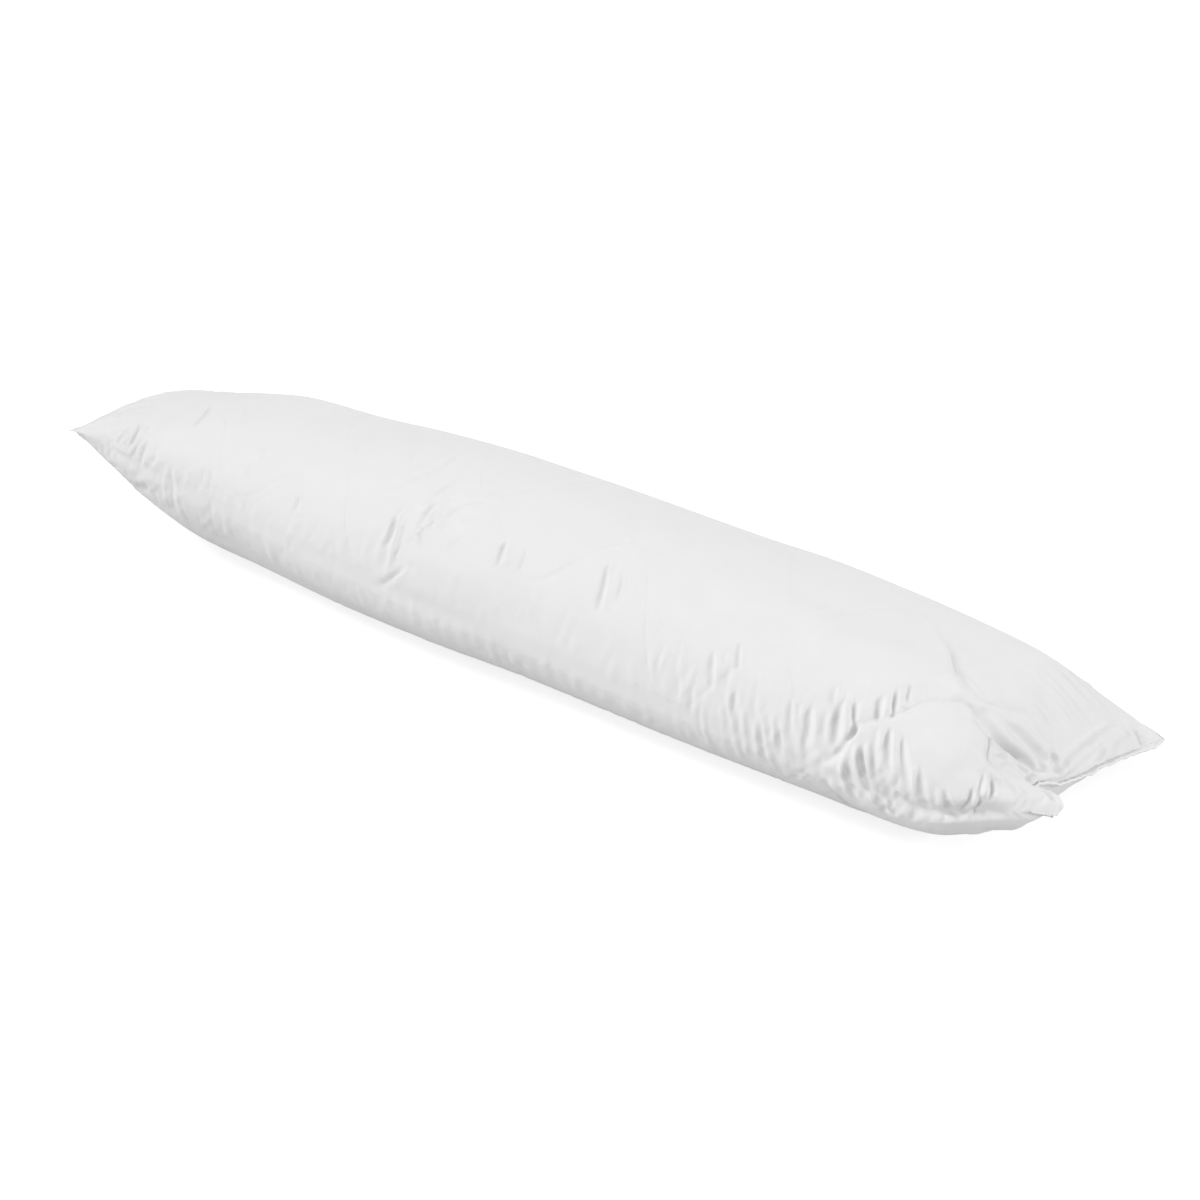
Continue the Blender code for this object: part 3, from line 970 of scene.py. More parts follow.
@dataclass
class Surface:
    """The cover as fine rings, with the means to find any place on it."""
    grid: RingGrid
    rings: np.ndarray

    def normals(self) -> np.ndarray:
        """Outward directions at every ring place."""
        return ring_normals(self.rings)

    def at(self, panel: Panel, along: np.ndarray, across: np.ndarray) -> tuple[np.ndarray, np.ndarray]:
        """Points of the surface and its outward directions there.

        Args:
            panel: Which panel the places are on.
            along: Places along the cut.
            across: Places across the cut.

        Returns:
            The points and the directions.
        """
        row = self.grid.row(along)
        place = self.grid.place(across, panel is Panel.BOTTOM)
        low_row = np.minimum(row.astype(int), self.grid.cells_along - 1)
        low_place = np.floor(place).astype(int)
        u, v = (row - low_row)[:, None], (place - low_place)[:, None]
        left, right = low_place % self.grid.ring, (low_place + 1) % self.grid.ring
        found = []
        for field_ in (self.rings, self.normals()):
            near = field_[low_row, left] * (1 - v) + field_[low_row, right] * v
            far = field_[low_row + 1, left] * (1 - v) + field_[low_row + 1, right] * v
            found.append(near * (1 - u) + far * u)
        return found[0], unit(found[1])


@dataclass
class Sewing:
    """What the sewing does to the settled cover: channels, drawn-in seams, puckers and folds."""
    quilting: Quilting = Quilting()
    channel_width: float = 0.0030
    puff_share: float = 0.25
    puff_at: float = 2.6
    puff_width: float = 1.4
    line_fade: float = 0.020
    slope_step: float = 0.001
    seam_depth: float = 0.0022
    seam_width: float = 0.0040
    seam_share: float = 0.35
    seam_fade: float = 0.006
    end_fade: float = 0.030
    full_share: float = 0.45
    tip_reach: float = 1.20
    tip_width: float = 0.60
    hollow_share: float = 0.30
    hollow_at: float = 1.9
    fold_limit: float = 0.0060
    pucker_reach: tuple = (0.35, 1.0)
    pucker_start: tuple = (0.0, 0.5)
    pucker_slant: tuple = (-0.15, 0.15)
    pucker_width: tuple = (0.85, 1.25)
    pucker_height: tuple = (0.3, 1.0)
    pucker_bow: tuple = (-0.1, 0.1)
    seed: int = 11

    def dress(self, surface: Surface) -> Surface:
        """Work the sewing into the cover.

        Args:
            surface: The settled cover.

        Returns:
            The sewn one.
        """
        grid = surface.grid
        along, across, side = (
            np.broadcast_to(values, surface.rings.shape[:2])
            for values in (grid.along(), grid.across(), grid.side())
        )
        around = side * (across + HALF_WIDTH)
        height = self.channels(along, across) * fade(HALF_LENGTH - np.abs(along), self.end_fade)
        height += self.seams(along, across)
        height += self.puckers(along, around)
        height += self.folds(surface, along, around)
        at_seam = np.minimum(HALF_WIDTH - np.abs(across), HALF_LENGTH - np.abs(along))
        height *= self.seam_share + (1 - self.seam_share) * fade(at_seam, self.seam_fade)
        height[0] = height[-1] = 0.0
        rings = surface.rings + ring_normals(surface.rings) * height[..., None]
        rings[..., 2] = np.maximum(rings[..., 2], 0.0)
        return Surface(grid, rings)

    def off_line(self, number: int, along: np.ndarray, across: np.ndarray) -> np.ndarray:
        """Distance from a quilting line, square to it.

        Args:
            number: Which line.
            along: Places along the cut.
            across: Places across the cut.

        Returns:
            The distances, below 0 on the line's near side.
        """
        step = self.slope_step
        rise = self.quilting.line(number, along + step) - self.quilting.line(number, along - step)
        slope = rise / (2 * step)
        return (across - self.quilting.line(number, along)) / np.sqrt(1 + slope ** 2)

    def channels(self, along: np.ndarray, across: np.ndarray) -> np.ndarray:
        """The narrow valleys of the quilting lines, with a faint puff along each side.

        Args:
            along: Where each ring place lies along the cut.
            across: Where it lies across the cut.

        Returns:
            How far each place stands proud.
        """
        height = np.zeros_like(along)
        for number in range(len(self.quilting.means)):
            off = np.abs(self.off_line(number, along, across)) / self.channel_width
            depth = self.quilting.depth(number, along)
            depth = depth * fade(HALF_WIDTH - np.abs(self.quilting.line(number, along)), self.line_fade)
            puff = self.puff_share * np.exp(-((off - self.puff_at) / self.puff_width) ** 2)
            height -= depth * (np.exp(-off ** 2) - puff)
        return height

    def seams(self, along: np.ndarray, across: np.ndarray) -> np.ndarray:
        """The two long seams, drawn in a little: how far each ring place stands proud."""
        off_long = (HALF_WIDTH - np.abs(across)) / self.seam_width
        return -self.seam_depth * np.exp(-off_long ** 2) * fade(HALF_LENGTH - np.abs(along), self.end_fade)

    def puckers(self, along: np.ndarray, around: np.ndarray) -> np.ndarray:
        """Every row of puckers, each fold drawn with its own length, slant and strength.

        Args:
            along: Where each ring place lies along the cut.
            around: Its distance round the cover from the near seam; the bottom panel's is below 0.

        Returns:
            How far each place stands proud.
        """
        height = np.zeros_like(along)
        draw = np.random.default_rng(self.seed)
        for row in PUCKER_ROWS:
            for number in range(int((row.along_b - row.along_a) / row.spacing)):
                start_along = row.along_a + (number + draw.uniform(0.0, 1.0)) * row.spacing
                reach = row.reach * draw.uniform(*self.pucker_reach)
                start = draw.uniform(*self.pucker_start) * row.reach
                slant = reach * (row.slant + draw.uniform(*self.pucker_slant))
                width = row.width * draw.uniform(*self.pucker_width)
                strength = row.height * draw.uniform(*self.pucker_height)
                bow = draw.uniform(*self.pucker_bow)
                seat, way = self.pucker_seat(row, start_along)
                ends = (
                    (start_along, seat + way * start),
                    (start_along + slant, seat + way * (start + reach)),
                )
                height += self.fold(along, around, ends, width, strength, bow)
        return height

    def pucker_seat(self, row: PuckerRow, start_along: float) -> tuple[float, int]:
        """Find where a pucker starts and which way it runs.

        Args:
            row: Its row.
            start_along: Its place along the cut.

        Returns:
            The start's distance round the cover from the near seam, and the sign of its run.
        """
        if row.seat is Seat.FAR_SEAM:
            return CUT_WIDTH, -row.panel.value
        if row.seat is Seat.NEAR_LINE:
            return HALF_WIDTH + float(self.quilting.line(0, np.array(start_along))), row.panel.value
        return 0.0, row.panel.value

    def folds(self, surface: Surface, along: np.ndarray, around: np.ndarray) -> np.ndarray:
        """Every fold that is placed by the photograph's pixels.

        Args:
            surface: The settled cover.
            along: Where each ring place lies along the cut.
            around: Its distance round the cover from the near seam.

        Returns:
            How far each place stands proud.
        """
        finder = PlaceFinder(surface, along, around)
        height = np.zeros_like(along)
        for fold in FOLDS:
            ends = (finder.place(fold.x_a, fold.y_a), finder.place(fold.x_b, fold.y_b))
            width, proud = fold.width * MILLIMETRE, fold.height * MILLIMETRE
            height += self.fold(along, around, ends, width, proud, fold.bow)
        return self.fold_limit * np.tanh(height / self.fold_limit)

    def fold(
        self, along: np.ndarray, around: np.ndarray, ends: tuple, width: float, height: float, bow: float
    ) -> np.ndarray:
        """One soft fold between two places on the cut: a rounded crest that tapers at both ends.

        Args:
            along: Where each ring place lies along the cut.
            around: Its distance round the cover from the near seam.
            ends: The fold's two ends, each as (along, around).
            width: Half the width of its crest.
            height: How proud it stands at its middle.
            bow: How far its middle strays sideways, as a share of its length.

        Returns:
            How far each place stands proud.
        """
        (from_along, from_around), (to_along, to_around) = ends
        run_x, run_y = to_along - from_along, to_around - from_around
        length = math.hypot(run_x, run_y)
        beside = np.mod(around - from_around + CUT_WIDTH, 2 * CUT_WIDTH) - CUT_WIDTH
        t = ((along - from_along) * run_x + beside * run_y) / length ** 2
        off = (beside * run_x - (along - from_along) * run_y) / length - bow * length * 4 * t * (1 - t)
        over = np.maximum(np.abs(2 * t - 1) - self.full_share, 0.0) / (self.tip_reach - self.full_share)
        taper = np.clip(1 - over ** 2, 0, 1)
        width = width * (self.tip_width + (1 - self.tip_width) * taper)
        crest = np.exp(-(off / width) ** 2)
        hollows = np.exp(-((np.abs(off) - self.hollow_at * width) / width) ** 2)
        return height * taper ** 2 * (crest - self.hollow_share * hollows)


class PlaceFinder:
    """Finds the place on the cover that shows at a pixel of the photograph."""
    REACH_PIXELS = 4.0
    SLACK_PIXELS = 1.0
    SOFT_PIXELS = 0.3
    FRONT_DEPTH = 0.02

    def __init__(self, surface: Surface, along: np.ndarray, around: np.ndarray) -> None:
        """Keep what the camera can see of the cover.

        Args:
            surface: The cover.
            along: Where each ring place lies along the cut.
            around: Its distance round the cover from the near seam.
        """
        view = Viewpoint()
        seen, away = view.pixels(surface.rings)
        facing = np.sum(surface.normals() * (view.place() - surface.rings), axis=-1) > 0
        self.seen, self.away = seen[facing], away[facing]
        self.along, self.around = along[facing], around[facing]

    def place(self, x: float, y: float) -> tuple[float, float]:
        """Find what shows at a pixel.

        Args:
            x: Pixels across.
            y: Pixels down.

        Returns:
            The place as (along, around).
        """
        off = np.hypot(self.seen[:, 0] - x, self.seen[:, 1] - y)
        close = off < max(self.REACH_PIXELS, off.min() + self.SLACK_PIXELS)
        front = close & (self.away < self.away[close].min() + self.FRONT_DEPTH)
        weight = np.where(front, 1.0 / (self.SOFT_PIXELS + off) ** 2, 0.0)
        weight /= weight.sum()
        return float(self.along @ weight), float(self.around @ weight)


def square(half: float) -> np.ndarray:
    """The corners of a level square round the origin."""
    return np.array([(-half, -half, 0.0), (half, -half, 0.0), (half, half, 0.0), (-half, half, 0.0)])


def linked_mesh(name: str, points: np.ndarray, faces: Sequence) -> bpy.types.Object:
    """A mesh object in the scene.

    Args:
        name: The object's name.
        points: Its vertices.
        faces: Vertex numbers of each face.

    Returns:
        The object.
    """
    mesh = bpy.data.meshes.new(name)
    mesh.from_pydata(points.tolist(), [], [tuple(int(n) for n in face) for face in faces])
    made = bpy.data.objects.new(name, mesh)
    bpy.context.scene.collection.objects.link(made)
    return made


def mesh_piece(
    name: str, points: np.ndarray, faces: Sequence, material: bpy.types.Material
) -> bpy.types.Object:
    """A smooth-shaded mesh object with its finish, reported in the log.

    Args:
        name: The object's name.
        points: Its vertices.
        faces: Vertex numbers of each face.
        material: Its finish.

    Returns:
        The object.
    """
    piece = linked_mesh(name, points, faces)
    piece.data.shade_smooth()
    piece.data.materials.append(material)
    log.info("%s: %d points, %d faces", name, len(points), len(faces))
    return piece


def settle_into_frame(piece: bpy.types.Object) -> None:
    """Make a piece ride with the pillow's body."""
    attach(piece, BODY)


@dataclass
class QuiltedCover:
    """The sewn cover, filled and settled."""
    grid: RingGrid = RingGrid(250, 48)
    finished: RingGrid = RingGrid(519, 96, crowded=True)
    form: FilledForm = field(default_factory=FilledForm)
    simulation: FillingSimulation = field(default_factory=FillingSimulation)
    sewing: Sewing = field(default_factory=Sewing)
    broad_reach: float = 0.045
    broad_cap: float = 0.006
    fill: float = 0.75

    def surface(self) -> Surface:
        """Settle the cover, centre it on the CAD's pillow and work the sewing in.

        Returns:
            The finished cover.
        """
        start = self.form.rings(self.grid)
        settled = self.simulation.run(self.grid, start)
        rings = self.crowd(refine(start + self.kept_part(settled - start)))
        low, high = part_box(NODE)
        middle = ((low + high) / 2).to_2d()
        rings[..., :2] += np.array(middle) - (rings[..., :2].min((0, 1)) + rings[..., :2].max((0, 1))) / 2
        return self.sewing.dress(Surface(self.finished, rings))

    def kept_part(self, moved: np.ndarray) -> np.ndarray:
        """Cap the broad part of a movement and keep its fine part whole.

        Args:
            moved: How far the simulation moved each ring place.

        Returns:
            The movement that is kept.
        """
        cell_along = CUT_LENGTH / self.grid.cells_along
        cell_round = CUT_WIDTH / self.grid.cells_across
        broad = blur(moved, cell_along, cell_round, self.broad_reach)
        length = np.linalg.norm(broad, axis=2, keepdims=True)
        log.info("the filling moved the cover %.4f m on average", length.mean())
        return broad * np.minimum(1.0, self.broad_cap / np.maximum(length, TINY)) + (moved - broad)

    def crowd(self, rings: np.ndarray) -> np.ndarray:
        """Read the refined rings at the finished grid's places.

        Args:
            rings: Rings of twice the cells of the simulated grid, each way.

        Returns:
            The finished grid's rings.
        """
        even = RingGrid(2 * self.grid.cells_along, 2 * self.grid.cells_across)
        rings = pick_rings(rings, even.row(self.finished.along()[:, 0]))
        places = even.place(self.finished.across()[0], self.finished.side()[0] < 0)
        closed = np.concatenate([rings, rings[:, :1]], axis=1)
        return pick_rings(closed.swapaxes(0, 1), places).swapaxes(0, 1)

    def build(self, surface: Surface, material: bpy.types.Material) -> None:
        """Make the cover's mesh, with the flat cut as its texture coordinates.

        Args:
            surface: The finished cover.
            material: Its cloth.
        """
        grid = surface.grid
        index, used = grid.index()
        cover = mesh_piece("quilted_cover", surface.rings.reshape(-1, 3)[used], grid.faces(index), material)
        along = np.broadcast_to(grid.along(), surface.rings.shape[:2])
        place = np.mod(grid.side()[0] * (grid.across()[0] + HALF_WIDTH), 2 * CUT_WIDTH)
        after = np.append(place[1:], 2 * CUT_WIDTH)
        corner_along = np.stack([along[:-1], along[1:], along[1:], along[:-1]], axis=-1)
        corner_round = np.broadcast_to(np.stack([place, place, after, after], axis=-1), corner_along.shape)
        layer = cover.data.uv_layers.new(name="flat_cut")
        layer.data.foreach_set("uv", np.stack([corner_along, corner_round], axis=-1).ravel())
        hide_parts(NODE)
        settle_into_frame(cover)


@dataclass
class ClosingSeam:
    """The top-stitched hem that stands out along the right end, where the pillow was filled and closed."""
    reach: float = 0.0072
    thickness: float = 0.0036
    tuck: float = 0.0012
    root_share: float = 0.8
    stitch_share: float = 0.55
    steps: int = 240
    smooth_steps: int = 7
    look_back: int = 7
    profile_points: int = 12
    edge_roundness: float = 0.6
    face_roundness: float = 0.7
    flutter: float = 0.0008
    flutter_waves: tuple = (5, 9, 14, 23)
    flutter_strength: tuple = (0.3, 1.0)
    swell: float = 0.12
    swell_waves: int = 7
    ripple: float = 0.05
    ripple_waves: int = 31
    tip_share: float = 0.45
    tip_slope: float = 12.0
    seed: int = 5

    def seam_line(self, surface: Surface) -> tuple[np.ndarray, np.ndarray]:
        """Read the end seam as an even, smoothed line.

        Args:
            surface: The dressed cover.

        Returns:
            The line's points, and the way that the hem stands out at each.
        """
        half = surface.grid.cells_across
        seam = surface.rings[-1, :half + 1]
        inner = surface.rings[-1 - self.look_back]
        under = np.concatenate([inner[:1], inner[:half - 1:-1]])
        out = unit(seam - (inner[:half + 1] + under) / 2)
        spots = np.linspace(0, half, self.steps)
        kernel = np.ones(2 * self.smooth_steps + 1) / (2 * self.smooth_steps + 1)
        smoothed = []
        for line in (seam, out):
            padded = repeat_ends(points_at(spots, np.arange(half + 1), line), self.smooth_steps)
            columns = [np.convolve(column, kernel, mode="valid") for column in padded.T]
            smoothed.append(np.stack(columns, axis=1))
        return smoothed[0], smoothed[1]

    def unevenness(self) -> tuple[np.ndarray, np.ndarray, np.ndarray]:
        """Vary the hem along its run.

        Returns:
            Its reach and its thickness as shares of the full ones, and how far its edge lifts.
        """
        draw = np.random.default_rng(self.seed)
        travel = np.linspace(0, 1, self.steps)
        flutter = np.zeros(self.steps)
        for waves in self.flutter_waves:
            strength = draw.uniform(*self.flutter_strength)
            flutter += strength * np.sin(2 * math.pi * (waves * travel + draw.random()))
        width = 1 + self.swell * np.sin(2 * math.pi * (self.swell_waves * travel + draw.random()))
        width += self.ripple * np.sin(2 * math.pi * self.ripple_waves * travel)
        tips = np.minimum(1.0, self.tip_slope * np.minimum(travel, 1 - travel) + self.tip_share)
        return width * tips, tips, flutter * self.flutter * tips

    def profile(self) -> tuple[np.ndarray, np.ndarray]:
        """Draw the hem's rounded profile.

        Returns:
            How far its points stand out from the seam, and how far they rise off the middle plane.
        """
        angles = np.linspace(0, 2 * math.pi, self.profile_points, endpoint=False)
        outwards, upwards = np.cos(angles), np.sin(angles)
        stand = 0.5 * self.reach * (1 + np.sign(outwards) * np.abs(outwards) ** self.edge_roundness)
        rise = 0.5 * self.thickness * np.sign(upwards) * np.abs(upwards) ** self.face_roundness
        return stand, rise * (self.root_share + (1 - self.root_share) * stand / self.reach)

    def build(self, surface: Surface, material: bpy.types.Material) -> tuple[np.ndarray, np.ndarray]:
        """Sweep the hem's profile along the end seam.

        Args:
            surface: The dressed cover.
            material: The hem's finish.

        Returns:
            The line that its stitches follow, and the way that its upper face looks.
        """
        seam, out = self.seam_line(surface)
        tangent = unit(np.gradient(seam, axis=0))
        out = unit(out - tangent * np.sum(out * tangent, axis=1, keepdims=True))
        face = np.cross(out, tangent)
        width, thickness, lift = (values[:, None] for values in self.unevenness())
        stand, rise = (values[None] for values in self.profile())
        centre = seam - out * self.tuck
        points = (
            centre[:, None]
            + out[:, None] * (stand * width)[..., None]
            + face[:, None] * (rise * thickness + lift * stand / self.reach)[..., None]
        )
        number = np.arange(self.steps * self.profile_points).reshape(self.steps, self.profile_points)
        turned = np.roll(number, -1, axis=1)
        sides = np.stack([number[:-1], turned[:-1], turned[1:], number[1:]], axis=-1).reshape(-1, 4)
        faces = [*sides.tolist(), number[0].tolist(), number[-1, ::-1].tolist()]
        settle_into_frame(mesh_piece("closing_seam", points.reshape(-1, 3), faces, material))
        return centre + (out * self.reach * width + face * lift) * self.stitch_share, face


class StitchPoint(NamedTuple):
    """A place along one stitch, as a share of its length, with its thickness and lift in thread radii."""
    share: float
    swell: float
    lift: float


STITCH = (
    #           share swell lift
    StitchPoint(0.00, 0.25, -1.2),
    StitchPoint(0.22, 1.00, 0.4),
    StitchPoint(0.78, 1.00, 0.4),
    StitchPoint(1.00, 0.25, -1.2),
)


@dataclass
class Stitching:
    """Rows of short thread stitches."""
    stitch: float = 0.0036
    pitch: float = 0.0050
    radius: float = 0.00022
    sides: int = 6
    line_points: int = 900
    end_margin: float = 0.012
    seam_margin: float = 0.006

    def along_line(self, path: np.ndarray, facing: np.ndarray, stand: float) -> tuple[np.ndarray, list]:
        """Lay stitches end to end along a path.

        Args:
            path: Points of the path.
            facing: The way that the cloth faces at each point.
            stand: How far the cloth's face stands off the path.

        Returns:
            Vertices and faces of all the stitches.
        """
        steps = np.linalg.norm(np.diff(path, axis=0), axis=1)
        travel = np.concatenate([[0.0], np.cumsum(steps)])
        starts = np.arange(self.pitch, travel[-1] - self.pitch, self.pitch)
        shares, swell, lift = np.array(STITCH).T
        where = starts[:, None] + shares[None] * self.stitch
        centre = points_at(where, travel, path)
        face = unit(points_at(where, travel, facing))
        aside = unit(np.cross(unit(centre[:, -1:] - centre[:, :1]), face))
        angles = np.linspace(0, 2 * math.pi, self.sides, endpoint=False)[None, None, :, None]
        ring = aside[:, :, None] * np.cos(angles) + face[:, :, None] * np.sin(angles)
        points = (
            centre[:, :, None]
            + face[:, :, None] * (stand + lift * self.radius)[None, :, None, None]
            + ring * (self.radius * swell)[None, :, None, None]
        )
        number = np.arange(points[..., 0].size).reshape(points.shape[:3])
        turned = np.roll(number, -1, axis=2)
        quads = np.stack([number[:, :-1], number[:, 1:], turned[:, 1:], turned[:, :-1]], axis=-1)
        caps = [*number[:, 0, :].tolist(), *number[:, -1, ::-1].tolist()]
        return points.reshape(-1, 3), [*quads.reshape(-1, 4).tolist(), *caps]

    def sew(self, name: str, lines: Sequence[tuple], material: bpy.types.Material) -> None:
        """Make one piece of the stitches of several lines.

        Args:
            name: The piece's name.
            lines: Each line's path, the way that its cloth faces, and how far its face stands off.
            material: The thread's finish.
        """
        all_points, all_faces, count = [], [], 0
        for path, facing, stand in lines:
            points, faces = self.along_line(path, facing, stand)
            all_faces += [[n + count for n in face] for face in faces]
            all_points.append(points)
            count += len(points)
        settle_into_frame(mesh_piece(name, np.concatenate(all_points), all_faces, material))

    def quilting(self, surface: Surface, quilting: Quilting, material: bpy.types.Material) -> None:
        """Stitch every quilting line of both panels.

        Args:
            surface: The finished cover.
            quilting: Its quilting lines.
            material: The thread's finish.
        """
        last = HALF_LENGTH - self.end_margin
        along = np.linspace(-last, last, self.line_points)
        lines = []
        for panel in Panel:
            for number in range(len(quilting.means)):
                line = quilting.line(number, along)
                kept = np.abs(line) < HALF_WIDTH - self.seam_margin
                lines.append((*surface.at(panel, along[kept], line[kept]), 0.0))
        self.sew("quilting_thread", lines, material)

    def hem(
        self, middle: np.ndarray, face: np.ndarray, thickness: float, material: bpy.types.Material
    ) -> None:
        """Stitch both faces of the closing seam's hem.

        Args:
            middle: The line that the stitches follow.
            face: The way that the upper face looks.
            thickness: The hem's thickness.
            material: The thread's finish.
        """
        half = thickness / 2
        self.sew("closing_thread", [(middle, face, half), (middle, -face, half)], material)


class Thread(Enum):
    """The kinds of surface that a finish can have."""
    WOVEN = "woven"
    SPUN = "spun"


def set_inputs(node: bpy.types.Node, **values: object) -> None:
    """Give a node's inputs their values, with an underscore for each space in an input's name."""
    for name, value in values.items():
        node.inputs[name.replace("_", " ")].default_value = value


def grey(value: float) -> tuple[float, float, float, float]:
    """An opaque grey."""
    return value, value, value, 1.0


@dataclass(frozen=True)
class FabricFinish:
    """A white textile finish for a Principled shader."""
    name: str
    kind: Thread
    colour: tuple = (0.75, 0.75, 0.75, 1.0)
    shade: tuple = (0.72, 0.72, 0.725, 1.0)
    roughness: float = 0.62
    specular: float = 0.35
    sheen: float = 0.25
    sheen_roughness: float = 0.4
    pitch: float = 0.00045
    depth: float = 0.00006

    def build(self) -> bpy.types.Material:
        """Make the material.

        Returns:
            The material.
        """
        material = bpy.data.materials.new(self.name)
        material.use_nodes = True
        nodes, links = material.node_tree.nodes, material.node_tree.links
        shader = nodes["Principled BSDF"]
        set_inputs(shader, Sheen_Weight=self.sheen, Sheen_Roughness=self.sheen_roughness)
        set_inputs(shader, Specular_IOR_Level=self.specular)
        weave = nodes.new("ShaderNodeGroup")
        weave.node_tree = weave_group()
        set_inputs(weave, Thread_pitch=self.pitch, Roughness=self.roughness)
        set_inputs(weave, Colour=self.colour, Shade=self.shade)
        bump = nodes.new("ShaderNodeBump")
        set_inputs(bump, Strength=1.0, Distance=self.depth)
        if self.kind is Thread.WOVEN:
            place = nodes.new("ShaderNodeUVMap").outputs["UV"]
        else:
            place = nodes.new("ShaderNodeTexCoord").outputs["Object"]
        links.new(place, weave.inputs["Place"])
        links.new(weave.outputs["Height"], bump.inputs["Height"])
        links.new(weave.outputs["Colour"], shader.inputs["Base Color"])
        links.new(weave.outputs["Roughness"], shader.inputs["Roughness"])
        links.new(bump.outputs["Normal"], shader.inputs["Normal"])
        return material


WEAVE_INPUTS = {
    "Place": "NodeSocketVector",
    "Thread pitch": "NodeSocketFloat",
    "Colour": "NodeSocketColor",
    "Shade": "NodeSocketColor",
    "Roughness": "NodeSocketFloat",
}
WEAVE_OUTPUTS = {
    "Colour": "NodeSocketColor",
    "Roughness": "NodeSocketFloat",
    "Height": "NodeSocketFloat",
}
MOTTLE_SCALE = 22.0
MOTTLE_DETAIL = 3.0
ROUGHNESS_SWING = 0.12


def weave_group() -> bpy.types.NodeTree:
    """The shared plain weave: over-and-under threads, with slight unevenness in tone and roughness.

    Returns:
        The node group, built the first time only.
    """
    name = "plain_weave"
    if name in bpy.data.node_groups:
        return bpy.data.node_groups[name]
    tree = bpy.data.node_groups.new(name, "ShaderNodeTree")
    for way, sockets in (("INPUT", WEAVE_INPUTS), ("OUTPUT", WEAVE_OUTPUTS)):
        for label, kind in sockets.items():
            tree.interface.new_socket(label, in_out=way, socket_type=kind)
    nodes, links = tree.nodes, tree.links
    start, end = nodes.new("NodeGroupInput").outputs, nodes.new("NodeGroupOutput").inputs

    def reckon(operation: str, *values: float | bpy.types.NodeSocket) -> bpy.types.NodeSocket:
        """Add a Math node.

        Args:
            operation: What it does.
            values: The numbers or sockets that it works on.

        Returns:
            Its result.
        """
        node = nodes.new("ShaderNodeMath")
        node.operation = operation
        for slot, value in zip(node.inputs, values):
            if isinstance(value, float):
                slot.default_value = value
            else:
                links.new(value, slot)
        return node.outputs[0]

    split = nodes.new("ShaderNodeSeparateXYZ")
    links.new(start["Place"], split.inputs[0])
    turn = reckon("DIVIDE", math.pi, start["Thread pitch"])
    warp, weft = (reckon("SINE", reckon("MULTIPLY", split.outputs[k], turn)) for k in range(2))
    links.new(reckon("MULTIPLY", warp, weft), end["Height"])
    mottle = nodes.new("ShaderNodeTexNoise")
    set_inputs(mottle, Scale=MOTTLE_SCALE, Detail=MOTTLE_DETAIL)
    links.new(start["Place"], mottle.inputs["Vector"])
    blend = nodes.new("ShaderNodeMix")
    blend.data_type = "RGBA"
    links.new(mottle.outputs["Fac"], blend.inputs["Factor"])
    links.new(start["Colour"], blend.inputs["A"])
    links.new(start["Shade"], blend.inputs["B"])
    links.new(blend.outputs["Result"], end["Colour"])
    swing = reckon("MULTIPLY", reckon("SUBTRACT", mottle.outputs["Fac"], 0.5), ROUGHNESS_SWING)
    links.new(reckon("ADD", start["Roughness"], swing), end["Roughness"])
    return tree


class Lamp(NamedTuple):
    """A soft light from far off: its strength, and the way that it comes from."""
    name: str
    strength: float
    source: tuple[float, float, float]


LAMPS = (
    Lamp("key", 1.30, (-0.75, -0.30, 0.75)),
    Lamp("fill", 1.60, (0.95, 0.35, 0.40)),
    Lamp("low", 0.75, (-0.50, -0.80, 0.15)),
)


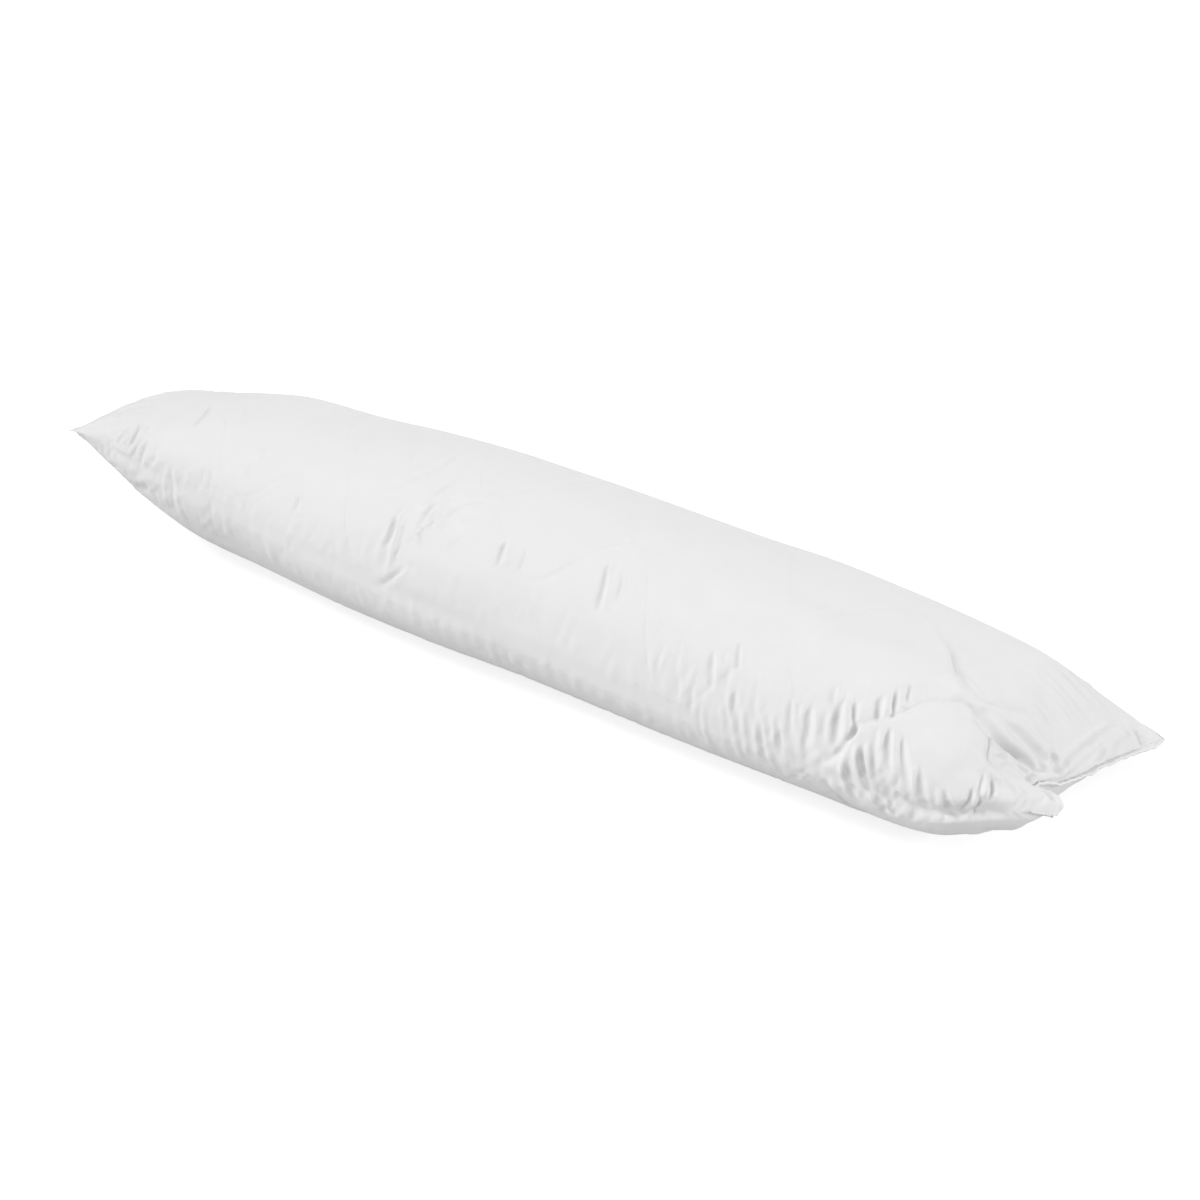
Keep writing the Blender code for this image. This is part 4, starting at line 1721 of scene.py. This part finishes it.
@dataclass
class Studio:
    """Pale floor, soft lights and the camera at the photograph's angle."""
    view: Viewpoint = Viewpoint()
    floor_side: float = 60.0
    floor_drop: float = 0.0004
    floor_tone: float = 0.35
    floor_glow: float = 0.76
    floor_bounce: float = 0.60
    floor_roughness: float = 0.9
    floor_specular: float = 0.1
    sky: float = 0.67
    softness: float = math.radians(14.0)
    sensor: float = 36.0

    def build(self) -> None:
        """Make the floor, the lights and the camera."""
        self.floor()
        self.surround()
        self.lights()
        self.camera()

    def floor(self) -> None:
        """A wide plain floor, paler to the camera than to the light; it isn't part of the object."""
        material = bpy.data.materials.new("pale_floor")
        material.use_nodes = True
        nodes, links = material.node_tree.nodes, material.node_tree.links
        shader = nodes["Principled BSDF"]
        set_inputs(shader, Roughness=self.floor_roughness, Specular_IOR_Level=self.floor_specular)
        set_inputs(shader, Emission_Color=grey(1.0))
        seen = nodes.new("ShaderNodeLightPath").outputs["Is Camera Ray"]
        tone = nodes.new("ShaderNodeMix")
        tone.data_type = "RGBA"
        set_inputs(tone, A=grey(self.floor_bounce), B=grey(self.floor_tone))
        glow = nodes.new("ShaderNodeMath")
        glow.operation = "MULTIPLY"
        glow.inputs[1].default_value = self.floor_glow
        links.new(seen, tone.inputs["Factor"])
        links.new(seen, glow.inputs[0])
        links.new(tone.outputs["Result"], shader.inputs["Base Color"])
        links.new(glow.outputs[0], shader.inputs["Emission Strength"])
        floor = mesh_piece("floor", square(self.floor_side / 2), [(0, 1, 2, 3)], material)
        floor.location.z = -self.floor_drop

    def surround(self) -> None:
        """A bright surround, white to the camera and weaker as a light."""
        world = bpy.data.worlds.new("studio")
        bpy.context.scene.world = world
        world.use_nodes = True
        nodes, links = world.node_tree.nodes, world.node_tree.links
        background = nodes["Background"]
        set_inputs(background, Color=grey(1.0))
        path = nodes.new("ShaderNodeLightPath")
        brightness = nodes.new("ShaderNodeMath")
        brightness.operation = "MAXIMUM"
        brightness.inputs[1].default_value = self.sky
        links.new(path.outputs["Is Camera Ray"], brightness.inputs[0])
        links.new(brightness.outputs[0], background.inputs["Strength"])

    def lights(self) -> None:
        """A soft key light from the near left and weaker ones from the far right and low on the left."""
        scene = bpy.context.scene
        scene.view_settings.view_transform = "Standard"
        for row in LAMPS:
            light = bpy.data.lights.new(row.name, "SUN")
            light.energy = row.strength
            light.angle = self.softness
            lamp = bpy.data.objects.new(row.name, light)
            scene.collection.objects.link(lamp)
            lamp.rotation_euler = Vector(row.source).to_track_quat("Z", "Y").to_euler()

    def camera(self) -> None:
        """Look at the pillow as the photograph does."""
        view = self.view
        data = bpy.data.cameras.new("camera")
        data.sensor_width = self.sensor
        data.lens = view.pixels_per_metre * view.distance / view.image_side * self.sensor
        data.shift_x = 0.5 - view.aim_pixel[0] / view.image_side
        data.shift_y = view.aim_pixel[1] / view.image_side - 0.5
        camera = bpy.data.objects.new("camera", data)
        bpy.context.scene.collection.objects.link(camera)
        turn = Matrix(view.axes().T.tolist()).to_4x4()
        camera.matrix_world = Matrix.Translation(Vector(view.place())) @ turn
        bpy.context.scene.camera = camera


def main() -> None:
    """Build the cover, its closing seam and its stitching, then the studio."""
    logging.basicConfig(level=logging.INFO, format="%(name)s: %(message)s")
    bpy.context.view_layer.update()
    fabric = FabricFinish("white_microfibre", Thread.WOVEN).build()
    thread = FabricFinish("white_thread", Thread.SPUN, pitch=0.0008, roughness=0.5).build()
    quilted, seam, stitching = QuiltedCover(), ClosingSeam(), Stitching()
    surface = quilted.surface()
    quilted.build(surface, fabric)
    middle, face = seam.build(surface, thread)
    stitching.quilting(surface, quilted.sewing.quilting, thread)
    stitching.hem(middle, face, seam.thickness, thread)
    Studio().build()


if __name__ == "__main__":
    main()
